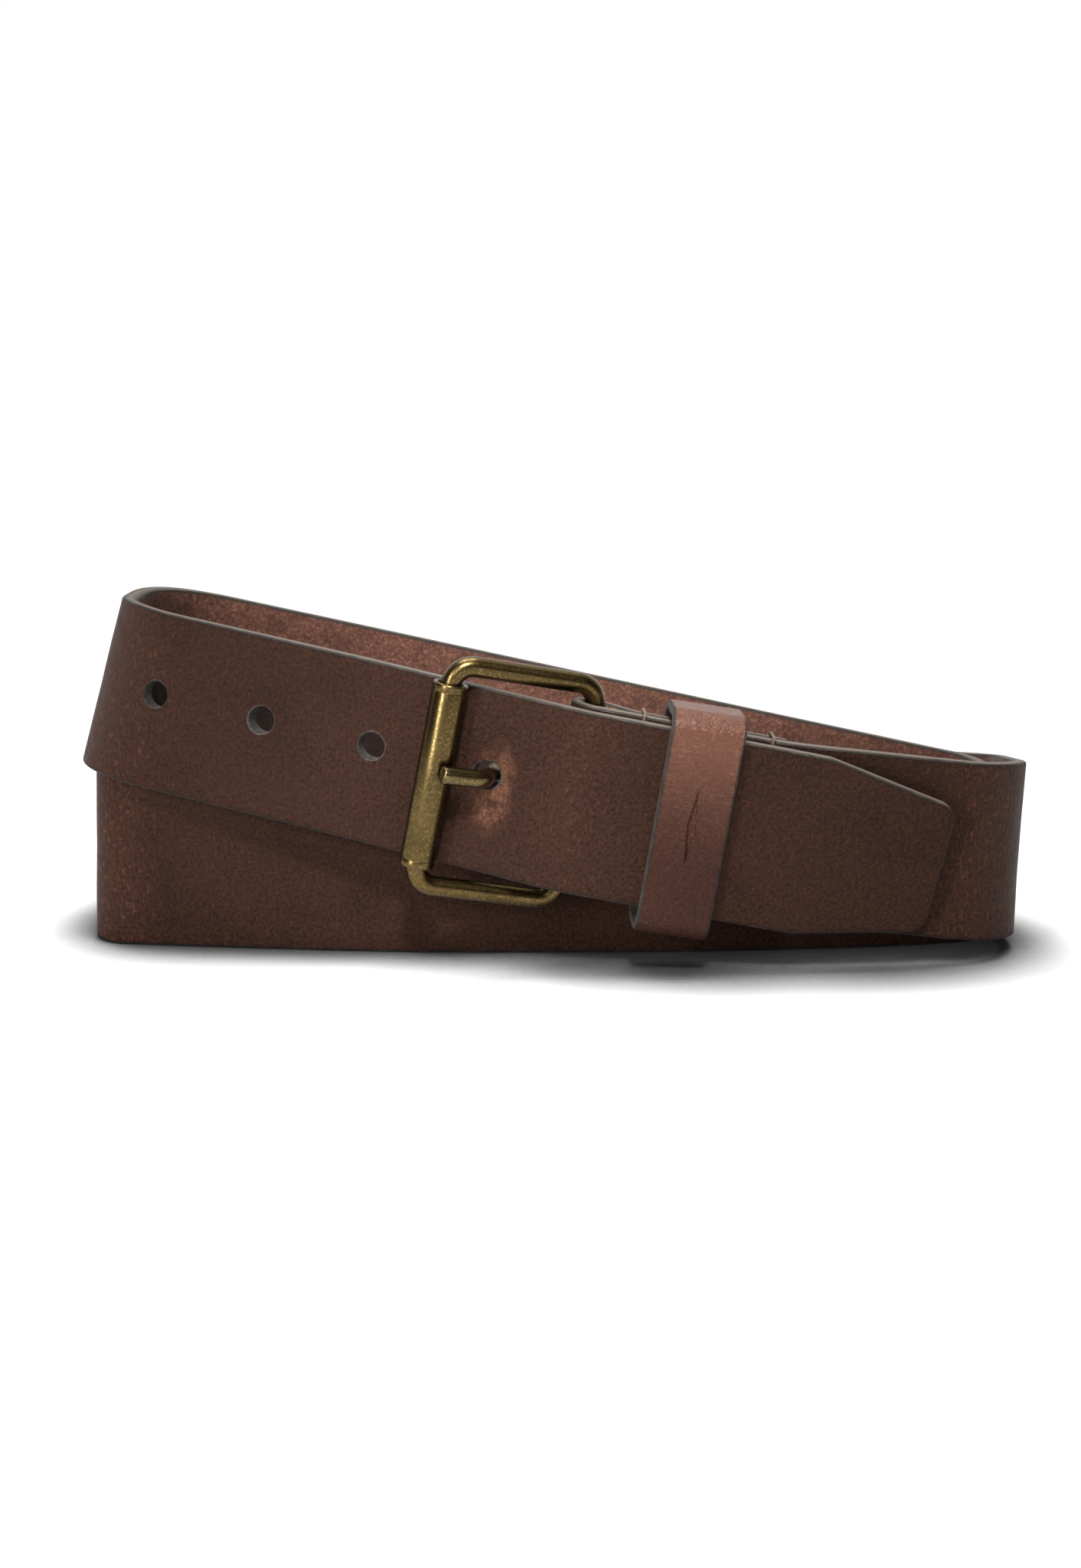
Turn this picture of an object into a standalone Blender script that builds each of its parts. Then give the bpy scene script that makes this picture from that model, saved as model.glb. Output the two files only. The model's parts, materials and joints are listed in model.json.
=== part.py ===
"""A leather roller-buckle belt, fastened on its first hole and stood on edge as a double coil.

World frame in metres: +Z up, the length of the coil along X, the buckle facing -Y. The strap is
laid as one ribbon from its tip, round the coil twice and back to the fold that holds the buckle.
"""

from math import asin, atan, cos, pi, radians, sin, tan

import bmesh
import bpy
import numpy as np
from mathutils import Matrix, Vector

# Strap
STRAP_WIDTH = 0.038
STRAP_THICKNESS = 0.0036
EDGE_CHAMFER = 0.0005
TIP_LENGTH = 0.0275
TIP_TAPER = 0.00535
TIP_CORNER_RADIUS = 0.003
HOLE_DIAMETER = 0.0058
HOLE_PITCH = 0.025
HOLE_COUNT = 5
TIP_TO_FIRST_HOLE = 0.0955
HOLE_FROM_HEEL = 0.0192

# Folded buckle end
FLAP_THICKNESS = 0.0024
FLAP_LENGTH = 0.0405
FLAP_JOIN = 0.0085
SLOT_BACK = 0.0070
STITCH_NEAR = 0.0098
STITCH_FAR = 0.0368
THREAD_DIAMETER = 0.0007
GROOVE_WIDTH = 0.0013
GROOVE_DEPTH = 0.0010

# Buckle
WIRE_DIAMETER = 0.0042
FRAME_SIDE_ROOM = 0.0023
FRAME_REACH = 0.0307
FRAME_CORNER_RADIUS = 0.0044
ROLLER_OVERHANG = 0.00045
ROLLER_DIAMETER = 0.0072
ROLLER_CLEARANCE = 0.0006
ROLLER_RIM = 0.0003
PRONG_DIAMETER = 0.0037
EYE_THICKNESS = 0.0015
FRAME_SWING = radians(10.9)
FRAME_SETTLE = 0.0008
PRONG_RISE = 0.0009

# Keeper
KEEPER_WIDTH = 0.0152
KEEPER_THICKNESS = 0.0023
KEEPER_SLACK = 0.0026
KEEPER_POSITION = 0.0230
KEEPER_RISE = -0.0008
KEEPER_TURN = radians(2.0)
STAPLE_SPAN = 0.0080
STAPLE_WIRE = 0.0008
SEAM_GAP = 0.0004

# Coil
UPPER_LEFT = -0.0953
LOWER_LEFT = -0.0972
COIL_RIGHT = 0.0980
COIL_BACK_LEFT = 0.0338
COIL_BACK_RIGHT = 0.0145
COIL_FRONT_LEFT = -0.0039
COIL_FRONT_RIGHT = -0.0029
COIL_FRONT_BULGE = 0.0086
LEFT_BEND_RADIUS = 0.0205
RIGHT_BEND_RADIUS = 0.0085
BUCKLE_X = 0.0077
BUCKLE_Y = -0.0256
BUCKLE_RISE = 0.0192
BUCKLE_HEADING = radians(3.5)
STACK_TILT = radians(11.3)
STACK_LEAN = radians(3.0)
LEFT_TILT = radians(16.0)
TIP_TILT = radians(9.0)
WALL_LEAN = radians(1.7)
UPPER_SAG = 0.0006

# Clearances
GAP = 0.0003
LAP_GAP = 0.0009
EDGE_LIFT = 0.0003

HALF_WIDTH = STRAP_WIDTH / 2
TIP_HALF_WIDTH = HALF_WIDTH - TIP_TAPER
FRAME_INNER_HEIGHT = STRAP_WIDTH + 2 * FRAME_SIDE_ROOM
ROLLER_LENGTH = STRAP_WIDTH + 2 * ROLLER_OVERHANG
HALF_THICK = STRAP_THICKNESS / 2
WIRE_RADIUS = WIRE_DIAMETER / 2
PRONG_RADIUS = PRONG_DIAMETER / 2
ROLLER_RADIUS = ROLLER_DIAMETER / 2
ROLLER_WALL = ROLLER_RADIUS - WIRE_RADIUS - ROLLER_CLEARANCE
LAP_PITCH = STRAP_THICKNESS + LAP_GAP
MAIN_OFFSET = WIRE_RADIUS + GAP + HALF_THICK
UPPER_OFFSET = MAIN_OFFSET + STRAP_THICKNESS + GAP
ROLLER_OFFSET = ROLLER_RADIUS + GAP + HALF_THICK

# The upper lap clears the lower one where they cross at the left bend.
UPPER_HEIGHT = STRAP_WIDTH + EDGE_LIFT + HALF_WIDTH * cos(LEFT_TILT)

UP = Vector((0, 0, 1))
ALONG = Vector(
    (
        cos(BUCKLE_HEADING) * cos(STACK_TILT),
        sin(BUCKLE_HEADING) * cos(STACK_TILT),
        -sin(STACK_TILT),
    )
)
LEVEL_OUT = UP.cross(-ALONG).normalized()
PLUMB_ACROSS = (-ALONG).cross(LEVEL_OUT).normalized()
ACROSS = (PLUMB_ACROSS * cos(STACK_LEAN) + LEVEL_OUT * sin(STACK_LEAN)).normalized()
OUT = ACROSS.cross(-ALONG).normalized()
HEEL = Vector((BUCKLE_X, BUCKLE_Y, HALF_WIDTH + BUCKLE_RISE))
# The strap runs straight between the fold over the heel bar and the back of the roller.
UPPER_TURN = asin((UPPER_OFFSET + ROLLER_OFFSET) / FRAME_REACH) - FRAME_SWING
REACH = (-ALONG * cos(FRAME_SWING) + OUT * sin(FRAME_SWING)).normalized()
FACE = ACROSS.cross(REACH).normalized()


def clear_scene():
    """Removes everything that the startup scene holds."""
    for obj in list(bpy.data.objects):
        bpy.data.objects.remove(obj, do_unlink=True)


def material(name, colour, metallic, roughness):
    """A plain Principled material."""
    made = bpy.data.materials.new(name)
    made.use_nodes = True
    shader = made.node_tree.nodes["Principled BSDF"]
    shader.inputs["Base Color"].default_value = (*colour, 1)
    shader.inputs["Metallic"].default_value = metallic
    shader.inputs["Roughness"].default_value = roughness
    return made


def stack_point(along, out):
    """A point beside the heel bar, by distance along the stacked straps and outward from the bar."""
    return HEEL + ALONG * along + OUT * out


def buckle_point(reach, face, across=0.0):
    """A point in the buckle's own frame: toward the roller, outward, and along the heel bar."""
    return HEEL + REACH * reach + FACE * face + ACROSS * across


def leaning(tilt, lean):
    """Across direction of a wall, tilted along X and leaning along Y."""
    return Vector((sin(tilt), sin(lean), cos(tilt))).normalized()


def route_corners():
    """Corners of the centre line as (point, bend radius in plan, across direction)."""
    ground = HALF_WIDTH
    lower_span = COIL_RIGHT - LOWER_LEFT
    upper_span = COIL_RIGHT - UPPER_LEFT
    back_slope = (COIL_BACK_LEFT - COIL_BACK_RIGHT) / upper_span
    bulge = COIL_FRONT_LEFT - COIL_FRONT_BULGE
    sag = ACROSS * -UPPER_SAG

    tip_run = TIP_TO_FIRST_HOLE - HOLE_FROM_HEEL
    tip = stack_point(tip_run, UPPER_OFFSET) + sag
    before_tip = stack_point(FLAP_LENGTH * 1.1, UPPER_OFFSET) + sag
    over_heel = stack_point(-UPPER_OFFSET * tan(UPPER_TURN / 2), UPPER_OFFSET) + sag
    heading = -ALONG * cos(UPPER_TURN) - OUT * sin(UPPER_TURN)
    past_roller = over_heel + heading * (FRAME_REACH + 0.014)
    left_front_y = past_roller.y + tan(radians(17)) * (past_roller.x - UPPER_LEFT)
    left_front = Vector((UPPER_LEFT, left_front_y, UPPER_HEIGHT + 0.0002))
    left_back = Vector((UPPER_LEFT, COIL_BACK_LEFT, UPPER_HEIGHT + 0.0006))
    fall_x = COIL_RIGHT - upper_span * 0.26
    fall_y = COIL_BACK_RIGHT + back_slope * (COIL_RIGHT - fall_x)
    fall_z = ground + (UPPER_HEIGHT - ground) * 0.26
    fall = Vector((fall_x, fall_y, fall_z))

    left = leaning(LEFT_TILT, 0)
    back = leaning(STACK_TILT, WALL_LEAN)
    right = leaning(WALL_LEAN, 0)
    plumb = leaning(0, 0)
    corners = [
        (tip, 0.0, (ACROSS + leaning(TIP_TILT, -STACK_LEAN) - PLUMB_ACROSS).normalized()),
        (before_tip, 0.0, ACROSS),
        (over_heel, UPPER_OFFSET, ACROSS),
        (past_roller, 0.20, ACROSS),
        (left_front, LEFT_BEND_RADIUS, left),
        (left_back, LEFT_BEND_RADIUS * 0.85, left),
        (fall, 0.0, back),
        (Vector((COIL_RIGHT, COIL_BACK_RIGHT, ground)), RIGHT_BEND_RADIUS, right),
        (Vector((COIL_RIGHT, COIL_FRONT_RIGHT, ground)), RIGHT_BEND_RADIUS, plumb),
        (Vector((COIL_RIGHT - lower_span * 0.113, bulge * 0.61, ground)), 0.15, plumb),
        (Vector((COIL_RIGHT - lower_span * 0.324, bulge * 0.96, ground)), 0.30, plumb),
        (Vector((LOWER_LEFT + lower_span * 0.352, bulge * 0.97, ground)), 0.30, plumb),
        (Vector((LOWER_LEFT + lower_span * 0.147, bulge * 0.64, ground)), 0.15, plumb),
        (Vector((LOWER_LEFT, COIL_FRONT_LEFT, ground)), 0.008, leaning(WALL_LEAN * 1.4, 0)),
    ]
    outer_back = Vector((LOWER_LEFT, COIL_BACK_LEFT + LAP_PITCH * 1.01, ground))
    outer_x = COIL_RIGHT + LAP_PITCH
    outer_y = COIL_BACK_RIGHT + LAP_PITCH * (1.01 - back_slope)
    corners.append((outer_back, 0.012, leaning(WALL_LEAN, WALL_LEAN)))
    corners.append(
        (Vector((outer_x, outer_y, ground)), RIGHT_BEND_RADIUS + LAP_PITCH, right)
    )
    leave = stack_point(FLAP_LENGTH + 0.001, MAIN_OFFSET)
    main_heading = BUCKLE_HEADING + radians(2.0)
    front_right_y = leave.y + tan(main_heading) * (outer_x - leave.x)
    corners.append((Vector((outer_x, front_right_y, ground + 0.0044)), 0.018, right))
    corners.append((leave, 0.15, ACROSS))
    corners.append((stack_point(0, MAIN_OFFSET), 0.0, ACROSS))
    return corners


def round_corners(corners, step):
    """Samples the rounded plan route. Returns the points and the across directions."""
    points = []
    knots = []
    for index, (corner, radius, across) in enumerate(corners):
        here = np.array(corner[:2])
        if index in (0, len(corners) - 1) or radius == 0:
            points.append(here)
            knots.append((len(points) - 1, corner.z, *across))
            continue
        before = np.array(corners[index - 1][0][:2])
        after = np.array(corners[index + 1][0][:2])
        arrive = (here - before) / np.linalg.norm(here - before)
        leave = (after - here) / np.linalg.norm(after - here)
        turn = np.arctan2(arrive[0] * leave[1] - arrive[1] * leave[0], arrive @ leave)
        trim = radius * tan(abs(turn) / 2)
        side = np.sign(turn)
        centre = here - arrive * trim + side * radius * np.array((-arrive[1], arrive[0]))
        count = max(2, int(np.ceil(abs(turn) / radians(5))))
        first = len(points)
        for part in range(count + 1):
            angle = turn * part / count
            arm = (here - arrive * trim) - centre
            spun = (
                arm[0] * cos(angle) - arm[1] * sin(angle),
                arm[0] * sin(angle) + arm[1] * cos(angle),
            )
            points.append(centre + np.array(spun))
        knots.append((first + count // 2, corner.z, *across))
    points = np.array(points)
    length = np.concatenate(([0], np.cumsum(np.linalg.norm(np.diff(points, axis=0), axis=1))))
    dense = np.linspace(0, length[-1], int(length[-1] / step) + 1)
    at = length[[knot[0] for knot in knots]]
    values = [np.interp(dense, at, [knot[item] for knot in knots]) for item in (1, 2, 3, 4)]
    values = [smoothed(value, step, 0.012) for value in values]
    plan = [np.interp(dense, length, points[:, axis]) for axis in (0, 1)]
    return np.stack((*plan, values[0]), axis=1), np.stack(values[1:], axis=1)


def smoothed(values, step, reach):
    """Averages a sampled function over a window, keeping straight parts straight to the ends."""
    half = int(reach / step)
    kernel = np.hanning(2 * half + 3)[1:-1]
    kernel /= kernel.sum()
    start = values[0] + (values[0] - values[1]) * np.arange(half, 0, -1)
    end = values[-1] + (values[-1] - values[-2]) * np.arange(1, half + 1)
    return np.convolve(np.concatenate((start, values, end)), kernel, mode="valid")


def fold_points():
    """Centre line round the heel bar and back along the flap, from the bar outward."""
    join_out = MAIN_OFFSET - STRAP_THICKNESS - GAP
    lean = atan((MAIN_OFFSET + join_out) / (FLAP_JOIN - 0.0012))
    sweep = pi + lean
    count = 16
    turned = []
    for part in range(1, count + 1):
        angle = pi / 2 - sweep * part / count
        turned.append(stack_point(-MAIN_OFFSET * cos(angle), MAIN_OFFSET * sin(angle)))
    last = turned[-1]
    climb = join_out - (last - HEEL).dot(OUT)
    meet = (last - HEEL).dot(ALONG) + climb / tan(lean)
    ease = 0.0014
    turned.append(stack_point(meet - ease, join_out - ease * tan(lean)))
    turned.append(stack_point(meet, join_out - ease * tan(lean) * 0.30))
    turned.append(stack_point(meet + ease, join_out))
    turned.append(stack_point(FLAP_LENGTH * 0.6, join_out))
    turned.append(stack_point(FLAP_LENGTH, join_out))
    return turned


def belt_path():
    """Stations of the whole belt: points, tangents, across directions and distances from the tip."""
    step = 0.0005
    route, reference = round_corners(route_corners(), step)
    fold = np.array([tuple(point) for point in fold_points()])
    tangent = np.gradient(route, axis=0)
    tangent /= np.linalg.norm(tangent, axis=1)[:, None]
    across = reference - (reference * tangent).sum(axis=1)[:, None] * tangent
    across /= np.linalg.norm(across, axis=1)[:, None]

    # Stations close together where the route bends, and far apart where it is straight.
    turning = np.linalg.norm(np.gradient(tangent, axis=0), axis=1) + np.linalg.norm(
        np.gradient(across, axis=0), axis=1
    )
    need = np.cumsum(turning / radians(6.5) + step / 0.012)
    picks = np.unique(np.searchsorted(need, np.arange(need[0], need[-1], 1.0)))
    distance = np.concatenate(([0], np.cumsum(np.linalg.norm(np.diff(route, axis=0), axis=1))))
    tip_marks = np.array((0, 0.12, 0.35, 0.65, 1.0)) * TIP_CORNER_RADIUS
    marks = np.concatenate((tip_marks, [TIP_LENGTH * 0.5, TIP_LENGTH]))
    picks = np.union1d(picks, np.searchsorted(distance, marks))
    picks = np.union1d(picks, [0, len(route) - 1])

    fold_tangent = np.gradient(np.vstack((route[-2:-1], fold)), axis=0)[1:]
    fold_tangent /= np.linalg.norm(fold_tangent, axis=1)[:, None]
    points = np.vstack((route[picks], fold))
    tangents = np.vstack((tangent[picks], fold_tangent))
    acrosses = np.vstack((across[picks], np.tile(np.array(ACROSS), (len(fold), 1))))
    return {
        "points": points,
        "tangents": tangents,
        "acrosses": acrosses,
        "fold_start": len(picks),
        "route": route,
        "route_tangent": tangent,
        "route_across": across,
        "distance": distance,
    }


def half_width_at(distance):
    """Half width of the strap, with the tapered tip and its rounded corners."""
    if distance >= TIP_LENGTH:
        return HALF_WIDTH
    half = TIP_HALF_WIDTH + TIP_TAPER * distance / TIP_LENGTH
    if distance < TIP_CORNER_RADIUS:
        short = TIP_CORNER_RADIUS - distance
        half -= TIP_CORNER_RADIUS - (TIP_CORNER_RADIUS**2 - short**2) ** 0.5
    return half


def extrude_through(name, rings):
    """A solid whose end face is extruded from ring to ring, closed at both ends."""
    work = bmesh.new()
    bmesh.ops.create_circle(work, cap_ends=True, segments=len(rings[0]), radius=1)
    work.faces.ensure_lookup_table()
    face = work.faces[0]
    for vert, point in zip(face.verts, rings[0]):
        vert.co = point
    for ring in rings[1:]:
        face = bmesh.ops.extrude_discrete_faces(work, faces=[face])["faces"][0]
        for vert, point in zip(face.verts, ring):
            vert.co = point
    bmesh.ops.holes_fill(work, edges=[edge for edge in work.edges if edge.is_boundary])
    bmesh.ops.recalc_face_normals(work, faces=work.faces)
    mesh = bpy.data.meshes.new(name)
    work.to_mesh(mesh)
    work.free()
    return mesh


def place(name, mesh, origin, finish, smooth=False):
    """An object that holds the mesh with its own origin at the given point."""
    mesh.transform(Matrix.Translation(-origin))
    obj = bpy.data.objects.new(name, mesh)
    obj.location = origin
    bpy.context.collection.objects.link(obj)
    obj.data.materials.append(finish)
    if smooth:
        for face in mesh.polygons:
            face.use_smooth = len(face.vertices) == 4
    return obj


def ribbon_ring(point, tangent, across, half_width, low, high):
    """Eight corners of a chamfered strap section; low and high are offsets off its middle."""
    chamfer = EDGE_CHAMFER
    out = Vector(across).cross(Vector(tangent)).normalized()
    centre = Vector(point)
    across = Vector(across)
    corners = (
        (low, -half_width + chamfer),
        (low, half_width - chamfer),
        (low + chamfer, half_width),
        (high - chamfer, half_width),
        (high, half_width - chamfer),
        (high, -half_width + chamfer),
        (high - chamfer, -half_width),
        (low + chamfer, -half_width),
    )
    return [centre + out * depth + across * side for depth, side in corners]


def add_boolean(target, cutter):
    """Subtracts one cutter, which stays in the scene as a hidden wire."""
    cutter.hide_render = True
    cutter.display_type = "WIRE"
    modifier = target.modifiers.new(cutter.name, "BOOLEAN")
    modifier.operation = "DIFFERENCE"
    modifier.solver = "EXACT"
    modifier.object = cutter


def cylinder_cutter(name, centre, axis, radius, length, segments=32):
    """A round cutter."""
    mesh = bpy.data.meshes.new(name)
    work = bmesh.new()
    turn = UP.rotation_difference(axis).to_matrix().to_4x4()
    bmesh.ops.create_cone(
        work,
        cap_ends=True,
        segments=segments,
        radius1=radius,
        radius2=radius,
        depth=length,
        matrix=Matrix.Translation(centre) @ turn,
    )
    work.to_mesh(mesh)
    work.free()
    obj = bpy.data.objects.new(name, mesh)
    bpy.context.collection.objects.link(obj)
    return obj


def box_cutter(name, centre, axes, sizes):
    """A box cutter along three given directions."""
    mesh = bpy.data.meshes.new(name)
    work = bmesh.new()
    turn = Matrix([tuple(axis) for axis in axes]).transposed().to_4x4()
    size = Matrix.Diagonal((*sizes, 1))
    bmesh.ops.create_cube(work, size=1, matrix=Matrix.Translation(centre) @ turn @ size)
    bmesh.ops.recalc_face_normals(work, faces=work.faces)
    work.to_mesh(mesh)
    work.free()
    obj = bpy.data.objects.new(name, mesh)
    bpy.context.collection.objects.link(obj)
    return obj


def make_strap(path, finish):
    """The strap, from tapered tip to folded flap, with its holes, prong slot and stitch grooves."""
    along = np.concatenate(
        ([0], np.cumsum(np.linalg.norm(np.diff(path["points"], axis=0), axis=1)))
    )
    rings = []
    fold = path["fold_start"]
    thin_over = 8
    for index, point in enumerate(path["points"]):
        share = min(max((index - fold + 1) / thin_over, 0), 1)
        high = HALF_THICK - (STRAP_THICKNESS - FLAP_THICKNESS) * share
        half = half_width_at(along[index])
        tangent = path["tangents"][index]
        across = path["acrosses"][index]
        rings.append(ribbon_ring(point, tangent, across, half, -HALF_THICK, high))
    strap = place("strap", extrude_through("strap", rings), Vector((0, 0, 0)), finish)

    for number in range(HOLE_COUNT):
        want = TIP_TO_FIRST_HOLE + number * HOLE_PITCH
        at = int(np.searchsorted(path["distance"], want))
        across = Vector(path["route_across"][at])
        axis = across.cross(Vector(path["route_tangent"][at]))
        centre = Vector(path["route"][at]) + across * (UPPER_SAG + PRONG_RISE)
        name = f"cut_hole_{number + 1}"
        cutter = cylinder_cutter(name, centre, axis, HOLE_DIAMETER / 2, STRAP_THICKNESS * 2)
        add_boolean(strap, cutter)

    slot = PRONG_DIAMETER + 5 * GAP
    outer = MAIN_OFFSET + HALF_THICK + GAP / 2
    rise = ACROSS * PRONG_RISE
    add_boolean(strap, cylinder_cutter("cut_slot_fold", HEEL + rise, ACROSS, outer, slot))
    middle = stack_point(SLOT_BACK / 2, 0) + rise
    size = (SLOT_BACK, outer * 2, slot)
    add_boolean(strap, box_cutter("cut_slot", middle, (ALONG, OUT, ACROSS), size))

    for label, where in (("near", STITCH_NEAR), ("far", STITCH_FAR)):
        front = MAIN_OFFSET + HALF_THICK - GROOVE_DEPTH / 2 + 0.00005
        back = flap_back() + GROOVE_DEPTH / 2 - 0.00005
        size = (GROOVE_WIDTH, GROOVE_DEPTH + 0.0001, STRAP_WIDTH * 1.1)
        axes = (ALONG, OUT, ACROSS)
        add_boolean(strap, box_cutter(f"cut_front_{label}", stack_point(where, front), axes, size))
        add_boolean(strap, box_cutter(f"cut_back_{label}", stack_point(where, back), axes, size))
    return strap


def flap_back():
    """Outward offset of the flap's grain face behind the stack."""
    centre = MAIN_OFFSET - STRAP_THICKNESS - GAP
    return centre + HALF_THICK - FLAP_THICKNESS


def wire(name, points, origin, radius, sides, closed, finish):
    """A round wire: a curve through the points with a round bevel."""
    curve = bpy.data.curves.new(name, "CURVE")
    curve.dimensions = "3D"
    curve.bevel_depth = radius
    curve.bevel_resolution = (sides - 4) // 2
    curve.use_fill_caps = True
    spline = curve.splines.new("POLY")
    spline.points.add(len(points) - 1)
    for knot, point in zip(spline.points, points):
        knot.co = (*(point - origin), 1)
    spline.use_cyclic_u = closed
    spline.use_smooth = True
    curve.materials.append(finish)
    obj = bpy.data.objects.new(name, curve)
    obj.location = origin
    bpy.context.collection.objects.link(obj)
    return obj


def make_frame(finish):
    """The closed wire rectangle: heel bar, two side arms and the bar that carries the roller."""
    half = FRAME_INNER_HEIGHT / 2 + WIRE_RADIUS
    radius = FRAME_CORNER_RADIUS
    centres = (
        (radius, half - radius, 180, 90),
        (FRAME_REACH - radius, half - radius, 90, 0),
        (FRAME_REACH - radius, radius - half, 0, -90),
        (radius, radius - half, -90, -180),
    )
    points = []
    for reach, across, first, last in centres:
        for part in range(7):
            angle = radians(first + (last - first) * part / 6)
            points.append(
                buckle_point(
                    reach + radius * cos(angle), 0, across + radius * sin(angle) - FRAME_SETTLE
                )
            )
    return wire("buckle_frame", points, HEEL, WIRE_RADIUS, 20, True, finish)


def make_roller(finish):
    """The rolled tube that turns on the front bar of the frame."""
    mesh = bpy.data.meshes.new("roller")
    work = bmesh.new()
    inner = ROLLER_RADIUS - ROLLER_WALL
    rim = min(ROLLER_RIM, ROLLER_WALL / 3)
    half = ROLLER_LENGTH / 2
    profile = [
        (inner, -half + rim),
        (inner + rim, -half),
        (ROLLER_RADIUS - rim, -half),
        (ROLLER_RADIUS, -half + rim),
        (ROLLER_RADIUS, half - rim),
        (ROLLER_RADIUS - rim, half),
        (inner + rim, half),
        (inner, half - rim),
    ]
    centre = buckle_point(FRAME_REACH, 0, -FRAME_SETTLE)
    verts = [work.verts.new(centre + REACH * r + ACROSS * z) for r, z in profile]
    edges = [work.edges.new(pair) for pair in zip(verts, verts[1:] + verts[:1])]
    bmesh.ops.spin(
        work, geom=verts + edges, cent=centre, axis=ACROSS, angle=2 * pi, steps=36, use_merge=True
    )
    bmesh.ops.recalc_face_normals(work, faces=work.faces)
    work.to_mesh(mesh)
    work.free()
    return place("roller", mesh, centre, finish, smooth=True)


def rounded_polyline(corners, steps):
    """Samples a plane polyline whose inner corners are given as (a, b, radius)."""
    points = [np.array(corners[0][:2])]
    for index in range(1, len(corners) - 1):
        here = np.array(corners[index][:2])
        radius = corners[index][2]
        arrive = here - np.array(corners[index - 1][:2])
        arrive /= np.linalg.norm(arrive)
        leave = np.array(corners[index + 1][:2]) - here
        leave /= np.linalg.norm(leave)
        turn = np.arctan2(arrive[0] * leave[1] - arrive[1] * leave[0], arrive @ leave)
        trim = radius * tan(abs(turn) / 2)
        begin = here - arrive * trim
        centre = begin + np.sign(turn) * radius * np.array((-arrive[1], arrive[0]))
        for part in range(steps + 1):
            angle = turn * part / steps
            arm = begin - centre
            spun = (
                arm[0] * cos(angle) - arm[1] * sin(angle),
                arm[0] * sin(angle) + arm[1] * cos(angle),
            )
            points.append(centre + np.array(spun))
    points.append(np.array(corners[-1][:2]))
    return points


def hole_axis():
    """The used hole in the buckle's plane: its centre and the strap's outward normal."""
    slope = UPPER_TURN + FRAME_SWING
    normal = np.array((sin(slope), cos(slope)))
    heading = np.array((cos(slope), -sin(slope)))
    straight = HOLE_FROM_HEEL - UPPER_OFFSET * UPPER_TURN
    return normal * UPPER_OFFSET + heading * straight, normal


def make_prong(finish):
    """The prong: an eye round the heel bar, a shank behind the strap, the crank and the free end."""
    centre, normal = hole_axis()
    eye = WIRE_RADIUS + GAP + EYE_THICKNESS / 2
    low = centre - normal * (HALF_THICK + 0.0028)
    rest = ROLLER_RADIUS + GAP + PRONG_RADIUS
    end = np.array((FRAME_REACH - 0.0003, rest + 0.00005))
    rise = tan(radians(5.0))
    reach = (end[1] - centre[1] - (end[0] - centre[0]) * rise) / (normal[1] - normal[0] * rise)
    high = centre + normal * reach

    points = []
    radii = []
    lift = np.arctan2(low[1] + eye, low[0])
    first = radians(-12)
    last = 1.5 * pi + lift
    turns = 26
    for part in range(turns + 1):
        angle = first + (last - first) * part / turns
        points.append(np.array((eye * cos(angle), eye * sin(angle))))
        radii.append((EYE_THICKNESS / 2, PRONG_RADIUS))
    away = rounded_polyline(
        [(points[-1][0], points[-1][1], 0), (*low, 0.0031), (*high, 0.0036), (*end, 0)], 7
    )[1:]
    shank = np.array(away[0]) - points[-1]
    for part in (0.25, 0.5, 0.75):
        points.append(points[-1 if part == 0.25 else turns] + shank * part)
        thick = EYE_THICKNESS / 2 + (PRONG_RADIUS - EYE_THICKNESS / 2) * min(part * 1.6, 1)
        radii.append((thick, PRONG_RADIUS))
    for point in away:
        points.append(point)
        radii.append((PRONG_RADIUS, PRONG_RADIUS))
    inner = points[-2] + (points[-1] - points[-2]) * 0.965
    points.insert(-1, inner)
    radii.insert(-1, (PRONG_RADIUS, PRONG_RADIUS))
    radii[-1] = (PRONG_RADIUS - 0.0002, PRONG_RADIUS - 0.0002)
    sides = 18
    rings = []
    for index, (reach_at, face_at) in enumerate(points):
        tangent = points[min(index + 1, len(points) - 1)] - points[max(index - 1, 0)]
        tangent /= np.linalg.norm(tangent)
        thick, wide = radii[index]
        ring = []
        for part in range(sides):
            angle = 2 * pi * (part + 0.5) / sides
            bulge = thick * cos(angle)
            ring.append(
                buckle_point(
                    reach_at - tangent[1] * bulge,
                    face_at + tangent[0] * bulge,
                    PRONG_RISE + wide * sin(angle),
                )
            )
        rings.append(ring)
    origin = HEEL + ACROSS * PRONG_RISE
    return place("prong", extrude_through("prong", rings), origin, finish, smooth=True)


def keeper_section():
    """Inner half height and the two inner faces of the keeper, as offsets from the heel bar."""
    front = UPPER_OFFSET + HALF_THICK + GAP
    back = flap_back() - GAP
    return HALF_WIDTH + KEEPER_SLACK, front, back


def keeper_point(along, out, across):
    """A point in the keeper's own frame, which is turned a little on the straps."""
    turned_along = ALONG * cos(KEEPER_TURN) + ACROSS * sin(KEEPER_TURN)
    turned_across = ACROSS * cos(KEEPER_TURN) - ALONG * sin(KEEPER_TURN)
    centre = stack_point(KEEPER_POSITION, 0) + ACROSS * KEEPER_RISE
    return centre + turned_along * along + OUT * out + turned_across * across


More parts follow.
